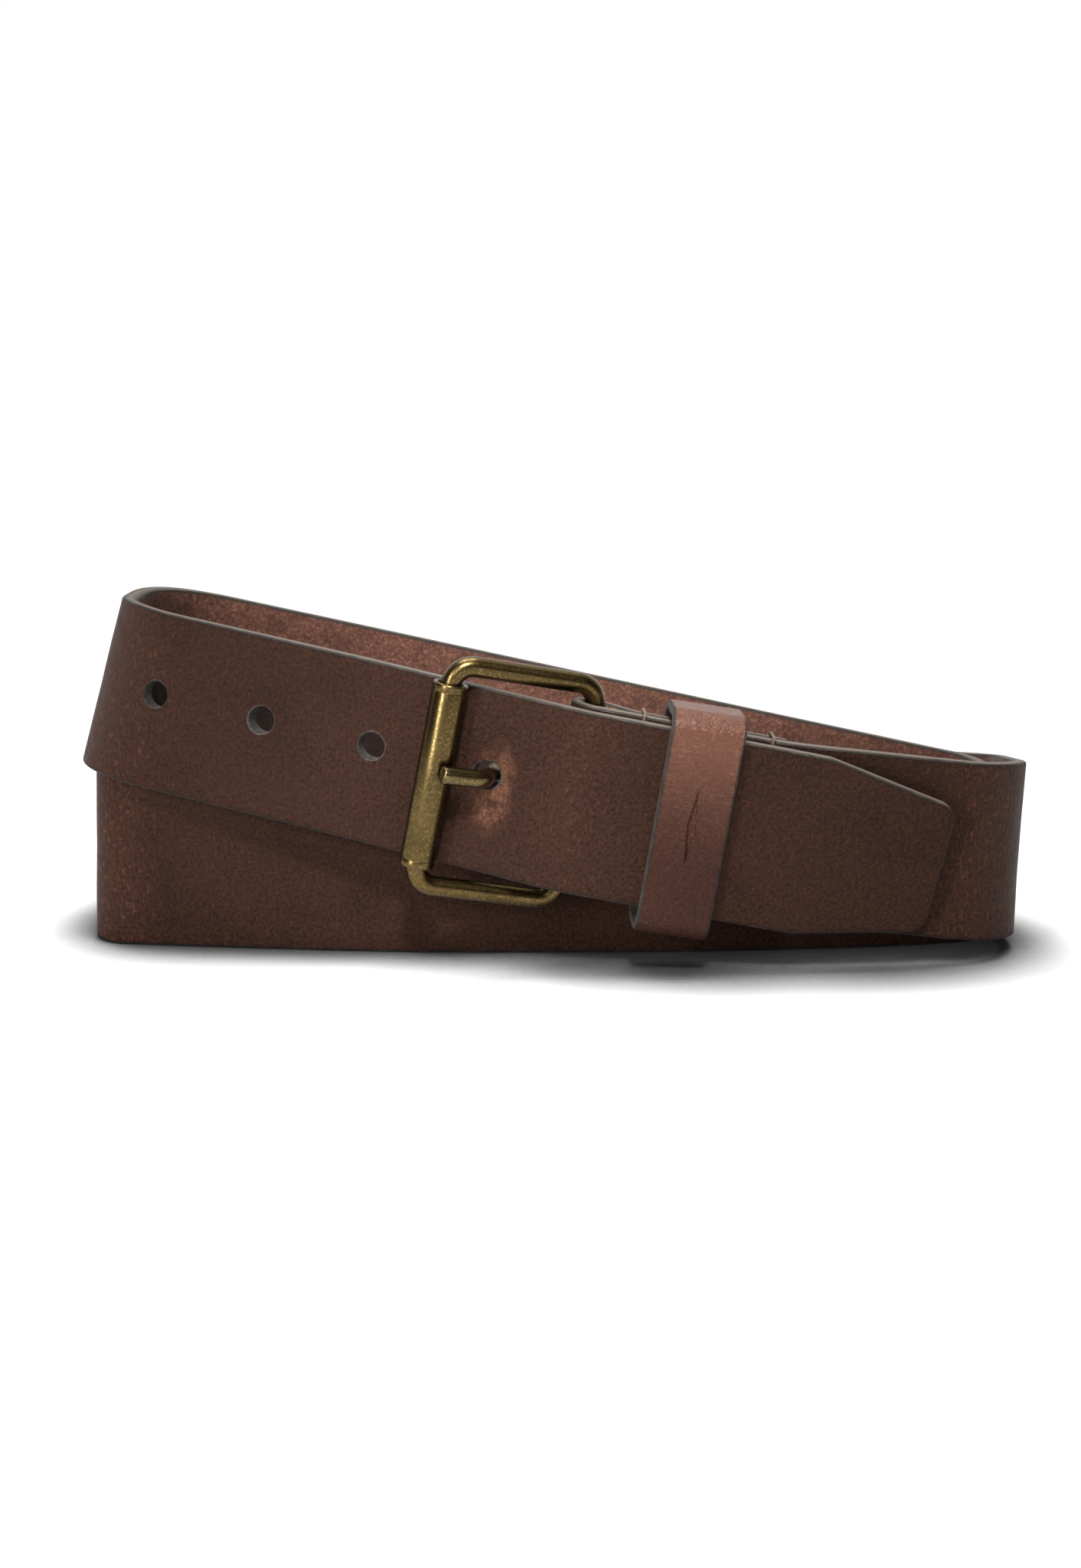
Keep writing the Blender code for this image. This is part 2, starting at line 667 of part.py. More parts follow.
def make_keeper(finish):
    """The keeper: a leather band bent round the stacked straps, butted at the back."""
    half, front, back = keeper_section()
    half_thick = KEEPER_THICKNESS / 2
    top = half + half_thick
    ahead = front + half_thick
    behind = back - half_thick
    bend = 0.0032
    corners = [
        (behind, SEAM_GAP / 2, 0),
        (behind, top, bend),
        (ahead, top, bend),
        (ahead, -top, bend),
        (behind, -top, bend),
        (behind, -SEAM_GAP / 2, 0),
    ]
    line = rounded_polyline(corners, 8)
    chamfer = 0.0004
    rings = []
    for index, point in enumerate(line):
        ahead_point = line[min(index + 1, len(line) - 1)]
        back_point = line[max(index - 1, 0)]
        tangent = ahead_point - back_point
        tangent = tangent / np.linalg.norm(tangent)
        if index in (0, len(line) - 1):
            tangent = np.array((0, np.sign(tangent[1])))
        ring = []
        width = KEEPER_WIDTH / 2
        for depth, side in (
            (-half_thick, -width + chamfer),
            (-half_thick, width - chamfer),
            (-half_thick + chamfer, width),
            (half_thick - chamfer, width),
            (half_thick, width - chamfer),
            (half_thick, -width + chamfer),
            (half_thick - chamfer, -width),
            (-half_thick + chamfer, -width),
        ):
            out = point[0] - tangent[1] * depth
            across = point[1] + tangent[0] * depth
            ring.append(keeper_point(side, out, across))
        rings.append(ring)
    origin = keeper_point(0, (front + back) / 2, 0)
    keeper = place("keeper_loop", extrude_through("keeper_loop", rings), origin, finish)
    for side in (-1, 1):
        centre = keeper_point(0, behind, side * STAPLE_SPAN / 2)
        reach = KEEPER_THICKNESS * 2
        radius = STAPLE_WIRE / 2 + GAP
        name = "cut_staple_up" if side > 0 else "cut_staple_down"
        add_boolean(keeper, cylinder_cutter(name, centre, OUT, radius, reach, 16))
    return keeper


def make_staple(finish):
    """The wire staple that closes the keeper's butt joint."""
    _, _, back = keeper_section()
    outside = back - KEEPER_THICKNESS - GAP - STAPLE_WIRE / 2
    inside = back - STAPLE_WIRE * 0.6
    half = STAPLE_SPAN / 2
    corners = [
        (inside, -half, 0),
        (outside, -half, STAPLE_WIRE * 0.8),
        (outside, half, STAPLE_WIRE * 0.8),
        (inside, half, 0),
    ]
    line = rounded_polyline(corners, 4)
    points = [keeper_point(0, out, across) for out, across in line]
    origin = keeper_point(0, outside, 0)
    return wire("keeper_staple", points, origin, STAPLE_WIRE / 2, 10, False, finish)


def make_stitch(name, where, finish):
    """One row of thread laid in its grooves and over both edges of the folded end."""
    radius = THREAD_DIAMETER / 2
    front = MAIN_OFFSET + HALF_THICK - radius - 0.00015
    back = flap_back() + radius + 0.00015
    top = HALF_WIDTH + GAP + radius
    bend = 0.0006
    corners = [
        (front, 0, 0),
        (front, top, bend),
        (back, top, bend),
        (back, -top, bend),
        (front, -top, bend),
        (front, 0, 0),
    ]
    line = rounded_polyline(corners, 4)[:-1]
    points = [stack_point(where, p[0]) + ACROSS * p[1] for p in line]
    return wire(name, points, stack_point(where, (front + back) / 2), radius, 8, True, finish)


def centre_on_origin():
    """Moves the assembly so that the middle of its base is the world origin."""
    bpy.context.view_layer.update()
    graph = bpy.context.evaluated_depsgraph_get()
    low = np.full(3, np.inf)
    high = np.full(3, -np.inf)
    for obj in bpy.data.objects:
        if obj.hide_render:
            continue
        mesh = obj.evaluated_get(graph).to_mesh()
        points = np.array([obj.matrix_world @ vertex.co for vertex in mesh.vertices])
        low = np.minimum(low, points.min(axis=0))
        high = np.maximum(high, points.max(axis=0))
    shift = Vector(((low[0] + high[0]) / 2, (low[1] + high[1]) / 2, low[2]))
    for obj in bpy.data.objects:
        obj.location -= shift
    return shift


def main():
    clear_scene()
    leather = material("bridle leather", (0.085, 0.045, 0.030), 0, 0.5)
    band = material("keeper leather", (0.10, 0.045, 0.028), 0, 0.4)
    brass = material("antique brass", (0.30, 0.22, 0.09), 1, 0.4)
    tube = material("antique brass tube", (0.32, 0.24, 0.10), 1, 0.4)
    tongue = material("antique brass prong", (0.28, 0.20, 0.09), 1, 0.4)
    steel = material("staple steel", (0.45, 0.42, 0.38), 1, 0.35)
    thread = material("waxed thread", (0.05, 0.03, 0.02), 0, 0.7)
    thread_end = material("waxed thread end", (0.05, 0.03, 0.02), 0, 0.7)
    path = belt_path()
    make_strap(path, leather)
    make_frame(brass)
    make_roller(tube)
    make_prong(tongue)
    make_keeper(band)
    make_staple(steel)
    make_stitch("stitch_row_buckle", STITCH_NEAR, thread)
    make_stitch("stitch_row_flap", STITCH_FAR, thread_end)
    centre_on_origin()


main()
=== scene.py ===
"""The looks of a leather roller-buckle belt, standing on edge as a double coil.

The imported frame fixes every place: the joints give the heel bar, the roller, the keeper and the
directions of the stacked straps. Lengths are in metres, and patterns are drawn in millimetres.
"""

import json
import logging
from collections.abc import Sequence
from dataclasses import dataclass, field
from enum import Enum
from math import asin, atan, cos, pi, radians, sin, tan

import bmesh
import bpy
import numpy as np
from mathutils import Matrix, Vector, noise


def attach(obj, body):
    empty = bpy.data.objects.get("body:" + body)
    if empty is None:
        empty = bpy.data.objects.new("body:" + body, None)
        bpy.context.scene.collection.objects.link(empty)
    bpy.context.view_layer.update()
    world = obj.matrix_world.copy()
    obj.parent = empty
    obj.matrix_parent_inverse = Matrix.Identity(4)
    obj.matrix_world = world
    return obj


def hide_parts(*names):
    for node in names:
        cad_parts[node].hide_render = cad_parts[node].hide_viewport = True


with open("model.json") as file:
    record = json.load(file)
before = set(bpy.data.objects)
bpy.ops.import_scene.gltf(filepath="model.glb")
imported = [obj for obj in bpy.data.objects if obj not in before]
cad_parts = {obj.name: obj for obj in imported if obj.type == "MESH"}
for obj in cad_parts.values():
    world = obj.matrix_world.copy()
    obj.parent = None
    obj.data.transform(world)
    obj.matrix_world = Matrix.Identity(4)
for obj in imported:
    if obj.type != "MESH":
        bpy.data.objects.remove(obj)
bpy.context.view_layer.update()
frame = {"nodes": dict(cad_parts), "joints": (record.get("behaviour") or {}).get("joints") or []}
LOG = logging.getLogger("belt")
UP = Vector((0, 0, 1))
Colour = tuple[float, float, float]
Socket = bpy.types.NodeSocket
MM = 1000
SHARP_ABOVE = radians(38)
QUARTER = [radians(18) * part for part in range(6)]
STITCH_ROWS = {"stitch_row_buckle": 0.0098, "stitch_row_flap": 0.0368}


class Skin(Enum):
    """The faces of a strap, in the order of its material slots."""

    GRAIN = 0
    FLESH = 1
    EDGE = 2
    BORE = 3


def joint(name: str) -> dict:
    """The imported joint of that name."""
    return next(found for found in frame["joints"] if found["name"] == name)


# --------------------------------------------------------------------------- finishes


class Finish:
    """A node material under construction round one Principled shader."""

    def __init__(self, name: str, roughness: float, metallic: float = 0.0) -> None:
        """Starts the material with its constant values on the shader's own sockets."""
        self.material = bpy.data.materials.new(name)
        self.material.use_nodes = True
        self.tree = self.material.node_tree
        self.shader = self.tree.nodes["Principled BSDF"]
        self.shader.inputs["Roughness"].default_value = roughness
        self.shader.inputs["Metallic"].default_value = metallic

    def add(self, kind: str, sockets: dict, **settings: object) -> bpy.types.Node:
        """Adds a node.

        Args:
            kind: The node's type, without its ShaderNode prefix.
            sockets: Input name or number to a constant or to another node's output.
            settings: The node's own properties.

        Returns:
            The new node.
        """
        node = self.tree.nodes.new("ShaderNode" + kind)
        for key, value in settings.items():
            setattr(node, key, value)
        for key, value in sockets.items():
            self.feed(node.inputs[key], value)
        return node

    def feed(self, socket: Socket, value: object) -> None:
        """Links an output to a socket, or sets the socket's constant."""
        if isinstance(value, bpy.types.NodeSocket):
            self.tree.links.new(value, socket)
        elif socket.type == "RGBA" and len(value) == 3:
            socket.default_value = (*value, 1)
        else:
            socket.default_value = value

    def place(self, scale: Sequence[float], layer: str = "") -> Socket:
        """Pattern coordinates: a UV layer or, with no layer, Object coordinates, times a scale."""
        if layer:
            source = self.add("UVMap", {}, uv_map=layer).outputs["UV"]
        else:
            source = self.add("TexCoord", {}).outputs["Object"]
        return self.add("Mapping", {"Vector": source, "Scale": scale}).outputs[0]

    def axis(self, layer: str, name: str, scale: float = 1) -> Socket:
        """One coordinate of a UV layer, times a scale."""
        where = self.place((scale, scale, 1), layer)
        return self.add("SeparateXYZ", {0: where}).outputs[name]

    def noise(
        self, where: Socket, scale: float, detail: float = 4, rough: float = 0.55, twist: float = 0
    ) -> Socket:
        """A noise between 0 and 1, at so many features to a unit of the coordinates."""
        sockets = {
            "Vector": where,
            "Scale": scale,
            "Detail": detail,
            "Roughness": rough,
            "Distortion": twist,
        }
        return self.add("TexNoise", sockets).outputs["Fac"]

    def cells(self, where: Socket, scale: float, feature: str = "F1") -> Socket:
        """Distance from the centres, or from the borders, of scattered cells."""
        node = self.add("TexVoronoi", {"Vector": where, "Scale": scale}, feature=feature)
        return node.outputs["Distance"]

    def sum(self, operation: str, first: object, second: object = 0.0) -> Socket:
        """One step of arithmetic on two values."""
        return self.add("Math", {0: first, 1: second}, operation=operation).outputs[0]

    def step(self, value: Socket, low: float, high: float, to: Sequence[float] = (0, 1)) -> Socket:
        """A smooth step of the value from low to high, onto the range given by to."""
        sockets = {
            "Value": value,
            "From Min": low,
            "From Max": high,
            "To Min": to[0],
            "To Max": to[1],
        }
        return self.add("MapRange", sockets, interpolation_type="SMOOTHSTEP").outputs[0]

    def mix(self, share: object, first: object, second: object, blend: str = "MIX") -> Socket:
        """Blends two colours by a share."""
        sockets = {0: share, 6: first, 7: second}
        return self.add("Mix", sockets, data_type="RGBA", blend_type=blend).outputs[2]

    def ramp(self, value: Socket, stops: Sequence[tuple[float, Colour]]) -> Socket:
        """Colours along a value, as (place, colour) stops."""
        node = self.add("ValToRGB", {"Fac": value})
        bar = node.color_ramp.elements
        while len(bar) < len(stops):
            bar.new(0.5)
        for element, (place, colour) in zip(bar, stops):
            element.position = place
            element.color = (*colour, 1)
        return node.outputs["Color"]

    def bump(self, height: Socket, strength: float, distance: float) -> None:
        """Raises the surface by a height pattern, over any bump that is there already."""
        sockets = {"Height": height, "Strength": strength, "Distance": distance}
        normal = self.shader.inputs["Normal"]
        if normal.is_linked:
            sockets["Normal"] = normal.links[0].from_socket
        self.feed(normal, self.add("Bump", sockets).outputs["Normal"])

    def colour(self, value: Socket) -> None:
        """Sets the base colour."""
        self.feed(self.shader.inputs["Base Color"], value)

    def roughness(self, value: Socket) -> None:
        """Sets a roughness that varies over the surface."""
        self.feed(self.shader.inputs["Roughness"], value)


@dataclass(frozen=True)
class GrainLeather:
    """The waxed outer face of pull-up leather.

    The layer "skin" holds the distance along the strap and across it, and the layer "trim" holds
    the share of the thickness and the distance from the cut outline.
    """

    name: str
    base: Colour = (0.0295, 0.0130, 0.0082)
    shade: Colour = (0.0140, 0.0060, 0.0040)
    warm: Colour = (0.0590, 0.0240, 0.0145)
    glow: Colour = (0.180, 0.072, 0.040)
    streaks: float = 0.16
    shine: float = 0.08
    roughness: tuple[float, float] = (0.42, 0.58)
    pebble: float = 0.40
    mottle: float = 1.0
    crease_at: float | None = None

    def material(self) -> bpy.types.Material:
        """Builds the material."""
        made = Finish(self.name, 0.5)
        made.shader.inputs["Specular IOR Level"].default_value = self.shine
        face = made.place((MM, MM, 1), "skin")
        upright = made.place((MM, 330, 1), "skin")
        # On the keeper the bend layer holds a painted sheen, so these mixes paint a highlight on
        # its top.
        bend = made.axis("bend", "X")
        blotch = made.noise(face, 0.045, 3, 0.5)
        cloud = made.noise(face, 0.26, 5, 0.6)
        fine = made.noise(face, 1.35, 7, 0.72)
        fibre = made.noise(upright, 1.7, 6, 0.74, 0.5)
        pores = made.cells(upright, 1.3)
        pebbles = made.cells(made.place((MM, 640, 1), "skin"), 1.05, "DISTANCE_TO_EDGE")

        tone = made.mix(made.step(blotch, 0.30, 0.58, (0.45, 1)), self.shade, self.base)
        tone = made.mix(made.step(cloud, 0.40, 0.72, (0, 0.35)), tone, self.base)
        tone = made.mix(made.sum("MULTIPLY", bend, 0.38), tone, self.warm)
        flecks = made.sum("MULTIPLY", made.step(fibre, 0.50, 0.68), made.step(cloud, 0.25, 0.60))
        amount = made.sum("MULTIPLY_ADD", bend, 0.70)
        amount.node.inputs[2].default_value = self.streaks
        tone = made.mix(made.sum("MULTIPLY", flecks, amount), tone, self.glow)
        tone = made.mix(made.step(pores, 0.22, 0.05, (0, 0.45)), tone, self.shade)
        tone = made.mix(made.step(fine, 0.47, 0.60, (0, 0.40 * self.mottle)), tone, self.warm)
        tone = made.mix(made.step(fine, 0.51, 0.40, (0, 0.60 * self.mottle)), tone, self.shade)
        if self.crease_at is not None:
            tone = self.pulled_up(made, face, tone)
        tone = self.burnished(made, face, tone)
        made.colour(tone)
        low, high = self.roughness
        made.roughness(made.step(made.sum("ADD", cloud, fine), 0.75, 1.30, (low, high)))
        made.bump(made.step(pebbles, 0.0, 0.30), self.pebble, 0.0005)
        made.bump(fine, 0.60, 0.0008 * self.mottle)
        made.bump(fibre, 0.60, 0.0006 * self.mottle)
        return made.material

    def burnished(self, made: Finish, face: Socket, tone: Socket) -> Socket:
        """Darkens a narrow uneven border along the cut outline."""
        trim = made.axis("trim", "Y", MM)
        rough_line = made.sum("MULTIPLY", made.noise(face, 0.9, 4), 0.8)
        border = made.step(made.sum("SUBTRACT", trim, rough_line), 0.45, -0.15, (0, 0.85))
        return made.mix(border, tone, (0.011, 0.0085, 0.0075))

    def pulled_up(self, made: Finish, face: Socket, tone: Socket) -> Socket:
        """Lightens the creases that spread where the strap bends at the used hole."""
        skin = made.add("SeparateXYZ", {0: made.place((MM, MM, 1), "skin")})
        from_hole = made.sum("SUBTRACT", skin.outputs["X"], self.crease_at * MM)
        along = made.sum("DIVIDE", made.sum("ADD", from_hole, 1.4), 4.6)
        across = made.sum("DIVIDE", made.sum("ADD", skin.outputs["Y"], 1.0), 9.5)
        spread = made.sum(
            "ADD", made.sum("MULTIPLY", along, along), made.sum("MULTIPLY", across, across)
        )
        stretched = made.place((MM, 420, 1), "skin")
        lines = made.noise(stretched, 1.5, 5, 0.66, 0.9)
        ridges = made.step(made.sum("ABSOLUTE", made.sum("SUBTRACT", lines, 0.5)), 0.07, 0.0)
        patchy = made.step(made.noise(face, 0.33, 3), 0.30, 0.62)
        near = made.sum("MULTIPLY", made.step(spread, 1.5, 0.0), patchy)
        glow = made.sum("MULTIPLY", near, 0.24)
        tone = made.mix(glow, tone, (0.165, 0.074, 0.043))
        crease = made.sum("MULTIPLY", made.sum("MULTIPLY", ridges, near), 0.42)
        return made.mix(crease, tone, (0.30, 0.135, 0.075))


@dataclass(frozen=True)
class FleshLeather:
    """The napped inner face of the strap, darkened by painted shade towards its lower edge."""

    name: str = "flesh_side_painted_shade"
    dark: Colour = (0.042, 0.0145, 0.0090)
    middle: Colour = (0.140, 0.057, 0.036)
    pale: Colour = (0.320, 0.165, 0.112)

    def material(self) -> bpy.types.Material:
        """Builds the material."""
        made = Finish(self.name, 0.88)
        made.shader.inputs["Specular IOR Level"].default_value = 0.25
        made.shader.inputs["Sheen Weight"].default_value = 0.10
        made.shader.inputs["Sheen Roughness"].default_value = 0.6
        face = made.place((MM, MM, 1), "skin")
        patches = made.noise(face, 0.16, 4, 0.6)
        nap = made.noise(face, 1.05, 7, 0.74, 0.5)
        stops = ((0.30, self.dark), (0.52, self.middle), (0.72, self.pale))
        tone = made.ramp(nap, stops)
        tone = made.mix(made.step(patches, 0.42, 0.66, (0, 0.40)), tone, self.dark)
        trim = made.axis("trim", "Y", MM)
        side = made.add("SeparateXYZ", {0: face}).outputs["Y"]
        # Painted shade: the face darkens from above its middle to its lower edge, for shade inside
        # the coil.
        tone = made.mix(made.step(side, 8.0, -2.0, (0, 0.88)), tone, (0.010, 0.006, 0.005))
        made.colour(made.mix(made.step(trim, 0.9, 0.1, (0, 0.8)), tone, (0.016, 0.011, 0.009)))
        made.bump(nap, 0.55, 0.0003)
        return made.material


@dataclass(frozen=True)
class CutEdge:
    """The burnished cut edge, fibrous in the middle and dark where it meets the grain."""

    name: str = "cut_edge"
    dark: Colour = (0.017, 0.0140, 0.0120)
    fibre: Colour = (0.072, 0.056, 0.044)
    pale: Colour = (0.165, 0.133, 0.106)

    def material(self) -> bpy.types.Material:
        """Builds the material."""
        made = Finish(self.name, 0.62)
        made.shader.inputs["Specular IOR Level"].default_value = 0.18
        trim = made.axis("trim", "X")
        skin = made.axis("skin", "X", MM)
        layered = made.add("CombineXYZ", {"X": skin, "Y": made.sum("MULTIPLY", trim, 14)})
        long_run = made.add("Mapping", {"Vector": layered.outputs[0], "Scale": (0.30, 1, 1)})
        strands = made.noise(long_run.outputs[0], 1.0, 5, 0.7, 0.3)
        specks = made.noise(layered.outputs[0], 1.4, 4, 0.7)
        shifted = made.sum("ADD", trim, made.step(strands, 0.2, 0.8, (-0.16, 0.16)))
        stops = (
            (0.06, self.dark),
            (0.26, self.fibre),
            (0.58, self.pale),
            (0.84, self.fibre),
            (0.93, self.dark),
        )
        tone = made.ramp(shifted, stops)
        tone = made.mix(made.step(specks, 0.50, 0.72, (0, 0.7)), tone, self.dark)
        made.colour(tone)
        made.bump(strands, 0.5, 0.0003)
        return made.material


@dataclass(frozen=True)
class BoreLeather:
    """The dark fibrous wall of a punched hole."""

    name: str = "punched_bore"
    dark: Colour = (0.008, 0.006, 0.005)
    pale: Colour = (0.115, 0.096, 0.080)

    def material(self) -> bpy.types.Material:
        """Builds the material."""
        made = Finish(self.name, 0.8)
        fibres = made.noise(made.place((MM, MM, MM)), 2.2, 6, 0.72)
        made.colour(made.ramp(fibres, ((0.42, self.dark), (0.70, self.pale))))
        made.bump(fibres, 0.6, 0.0003)
        return made.material


@dataclass(frozen=True)
class AntiqueBrass:
    """Brass with a mottled dark patina that is rubbed through on the high places."""

    name: str
    patina: Colour = (0.034, 0.0245, 0.0110)
    body: Colour = (0.130, 0.088, 0.033)
    rubbed: Colour = (0.62, 0.480, 0.215)
    wear: float = 0.35

    def material(self) -> bpy.types.Material:
        """Builds the material."""
        made = Finish(self.name, 0.4, 1.0)
        where = made.place((MM, MM, MM))
        stain = made.noise(where, 0.16, 4, 0.6)
        mottle = made.noise(where, 1.7, 7, 0.70)
        grit = made.noise(where, 6.0, 4, 0.7)
        tone = made.mix(made.step(mottle, 0.30, 0.66, (0.45, 1)), self.patina, self.body)
        tone = made.mix(made.step(stain, 0.36, 0.70, (0, 0.35)), tone, self.patina)
        rub = made.sum("MULTIPLY", made.step(mottle, 0.52, 0.76), made.step(grit, 0.40, 0.66))
        tone = made.mix(made.sum("MULTIPLY", rub, self.wear * 2), tone, self.rubbed)
        worn = made.add("NewGeometry", {}).outputs["Pointiness"]
        tone = made.mix(made.step(worn, 0.545, 0.62, (0, self.wear)), tone, self.rubbed)
        made.colour(tone)
        made.roughness(made.step(made.sum("ADD", mottle, grit), 0.75, 1.25, (0.36, 0.18)))
        made.bump(mottle, 0.07, 0.0002)
        made.bump(grit, 0.14, 0.00005)
        return made.material


@dataclass(frozen=True)
class StapleWire:
    """Plain drawn steel wire."""

    name: str = "staple_wire"

    def material(self) -> bpy.types.Material:
        """Builds the material."""
        made = Finish(self.name, 0.34, 1.0)
        drawn = made.noise(made.place((900, 900, 3500)), 0.8, 5, 0.6)
        made.colour(made.ramp(drawn, ((0.35, (0.22, 0.20, 0.18)), (0.7, (0.50, 0.47, 0.43)))))
        made.bump(drawn, 0.2, 0.00005)
        return made.material


@dataclass(frozen=True)
class WaxedThread:
    """Brown waxed linen thread."""

    name: str = "waxed_thread"

    def material(self) -> bpy.types.Material:
        """Builds the material."""
        made = Finish(self.name, 0.6)
        made.shader.inputs["Sheen Weight"].default_value = 0.15
        hairs = made.noise(made.place((MM, MM, MM)), 4.0, 5, 0.7)
        made.colour(made.ramp(hairs, ((0.35, (0.050, 0.026, 0.016)), (0.7, (0.20, 0.115, 0.070)))))
        made.bump(hairs, 0.5, 0.0001)
        return made.material


# --------------------------------------------------------------------------- shapes


def unit(vector: np.ndarray) -> np.ndarray:
    """Rows of a matrix, or one vector, at length 1."""
    return vector / np.linalg.norm(vector, axis=-1, keepdims=True)


def turned(arm: np.ndarray, angle: float) -> np.ndarray:
    """A plane vector turned by an angle."""
    return np.array(
        (arm[0] * cos(angle) - arm[1] * sin(angle), arm[0] * sin(angle) + arm[1] * cos(angle))
    )


def filleted(corners: Sequence[Sequence[float]], pitch: float) -> list[np.ndarray]:
    """Rounds a plane line.

    Args:
        corners: (a, b, radius) for each corner; the ends keep their place.
        pitch: The angle between two points of an arc.

    Returns:
        The points of the line with an arc at each inner corner.
    """
    points = [np.array(corners[0][:2], float)]
    for before, (*corner, radius), after in zip(corners, corners[1:], corners[2:]):
        here = np.array(corner)
        arrive = unit(here - np.array(before[:2]))
        leave = unit(np.array(after[:2]) - here)
        turn = np.arctan2(arrive[0] * leave[1] - arrive[1] * leave[0], arrive @ leave)
        begin = here - arrive * radius * tan(abs(turn) / 2)
        centre = begin + np.sign(turn) * radius * np.array((-arrive[1], arrive[0]))
        count = max(2, round(abs(turn) / pitch))
        arc = [centre + turned(begin - centre, turn * part / count) for part in range(count + 1)]
        points += arc
    return [*points, np.array(corners[-1][:2], float)]


def evenly(corners: Sequence[Sequence[float]], pitch: float, count: int = 0) -> tuple:
    """Rounds a plane line and measures it.

    Args:
        corners: (a, b, radius) for each corner.
        pitch: The angle between two points of an arc.
        count: How many evenly spaced points to take, or 0 for the rounded line's own points.

    Returns:
        The line's points as rows, and its length.
    """
    coarse = np.array(filleted(corners, pitch))
    length = np.concatenate(([0], np.cumsum(np.linalg.norm(np.diff(coarse, axis=0), axis=1))))
    if count:
        even = np.linspace(0, length[-1], count)
        coarse = np.stack([np.interp(even, length, coarse[:, axis]) for axis in (0, 1)], axis=1)
    return coarse, float(length[-1])


def rounded(curve: float) -> list[tuple[float, float]]:
    """A quarter round of some radius, as (rise, draw) from one flat to the next."""
    return [(curve * (1 - cos(a)), curve * (1 - sin(a))) for a in radians(22.5) * np.arange(5)]


def finished(work: bmesh.types.BMesh, name: str) -> bpy.types.Mesh:
    """Turns a working mesh into a mesh, and frees it."""
    mesh = bpy.data.meshes.new(name)
    work.to_mesh(mesh)
    work.free()
    return mesh


def linked(name: str, data: bpy.types.ID) -> bpy.types.Object:
    """Makes an object of some data, in the scene."""
    made = bpy.data.objects.new(name, data)
    bpy.context.scene.collection.objects.link(made)
    return made


@dataclass
class Loft:
    """A closed solid whose end face is extruded from station to station.

    Each station is a ring of points, with a row of pattern values for each point: distance along,
    distance across, share of the thickness, distance from the outline, and how sharply it bends; on
    the keeper this last value is a painted sheen that lightens the band towards its top.
    """

    rings: list[Sequence[Vector]] = field(default_factory=list)
    values: list[Sequence[Sequence[float]]] = field(default_factory=list)

    def add(self, ring: Sequence[Vector], value: Sequence[Sequence[float]] = ()) -> None:
        """Adds a station."""
        self.rings.append(ring)
        self.values.append(value or [(0.0, 0.0, 0.5, 1.0, 0.0)] * len(ring))

    def mesh(self, name: str, leather: bool = False) -> bpy.types.Mesh:
        """Extrudes the solid.

        Args:
            name: The mesh's name.
            leather: Whether the faces take the slots of Skin from the share of the thickness.

        Returns:
            The mesh, with the layers "skin", "trim" and "bend"; on the keeper,
            "bend" holds a painted sheen share.
        """
        work = bmesh.new()
        run = work.verts.layers.float_vector.new("run")
        outline = work.verts.layers.float.new("outline")
        bend = work.verts.layers.float.new("bend")
        bmesh.ops.create_circle(work, cap_ends=True, segments=len(self.rings[0]), radius=1)
        work.faces.ensure_lookup_table()
        face = work.faces[0]
        for station, (ring, value) in enumerate(zip(self.rings, self.values)):
            if station:
                face = bmesh.ops.extrude_discrete_faces(work, faces=[face])["faces"][0]
            for vert, point, (along, across, share, edge, bend_and_sheen) in zip(face.verts, ring, value):
                vert.co = point
                vert[run] = (along, across, share)
                vert[outline] = edge
                vert[bend] = bend_and_sheen
        bmesh.ops.holes_fill(work, edges=[edge for edge in work.edges if edge.is_boundary])
        bmesh.ops.recalc_face_normals(work, faces=work.faces)
        skin_map = work.loops.layers.uv.new("skin")
        trim_map = work.loops.layers.uv.new("trim")
        bend_and_sheen_map = work.loops.layers.uv.new("bend")
        for face in work.faces:
            for corner in face.loops:
                along, across, share = corner.vert[run]
                corner[skin_map].uv = (along, across)
                corner[trim_map].uv = (share, corner.vert[outline])
                corner[bend_and_sheen_map].uv = (corner.vert[bend], 0)
            if leather:
                shares = [vert[run][2] for vert in face.verts]
                side = Skin.GRAIN if min(shares) > 0.97 else Skin.EDGE
                face.material_index = (Skin.FLESH if max(shares) < 0.03 else side).value
        return finished(work, name)


@dataclass
class TubeLine:
    """A wire or thread of varying thickness along a line of points."""

    points: Sequence[Vector]
    side: Vector
    sides: int = 24

    def rings(self, sizes: Sequence[tuple[float, float]], closed: bool = False) -> list:
        """Sections across the line: half thickness in its plane, half width out of it."""
        found = []
        count = len(self.points)
        for index, point in enumerate(self.points):
            after = (index + 1) % count if closed else min(index + 1, count - 1)
            before = index - 1 if closed else max(index - 1, 0)
            tangent = (self.points[after] - self.points[before]).normalized()
            other = self.side.cross(tangent).normalized()
            thick, wide = sizes[index]
            angles = [2 * pi * (part + 0.5) / self.sides for part in range(self.sides)]
            found.append(
                [point + other * thick * cos(a) + self.side * wide * sin(a) for a in angles]
            )
        return found


def dressed(
    mesh: bpy.types.Mesh, body: str, node: str, finishes: Sequence[bpy.types.Material]
) -> bpy.types.Object:
    """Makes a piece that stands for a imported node.

    Args:
        mesh: The finished mesh, in the row frame.
        body: The body it moves with.
        node: The node it replaces, which also gives its name.
        finishes: Its materials, in the order of its slots.

    Returns:
        The piece.
    """
    piece = linked(f"{node}_finished", mesh)
    for finish in finishes:
        mesh.materials.append(finish)
    mesh.shade_smooth()
    mesh.set_sharp_from_angle(angle=SHARP_ABOVE)
    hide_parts(node)
    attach(piece, body)
    LOG.info("%s: %d faces, rides on %s", piece.name, len(mesh.polygons), body)
    return piece


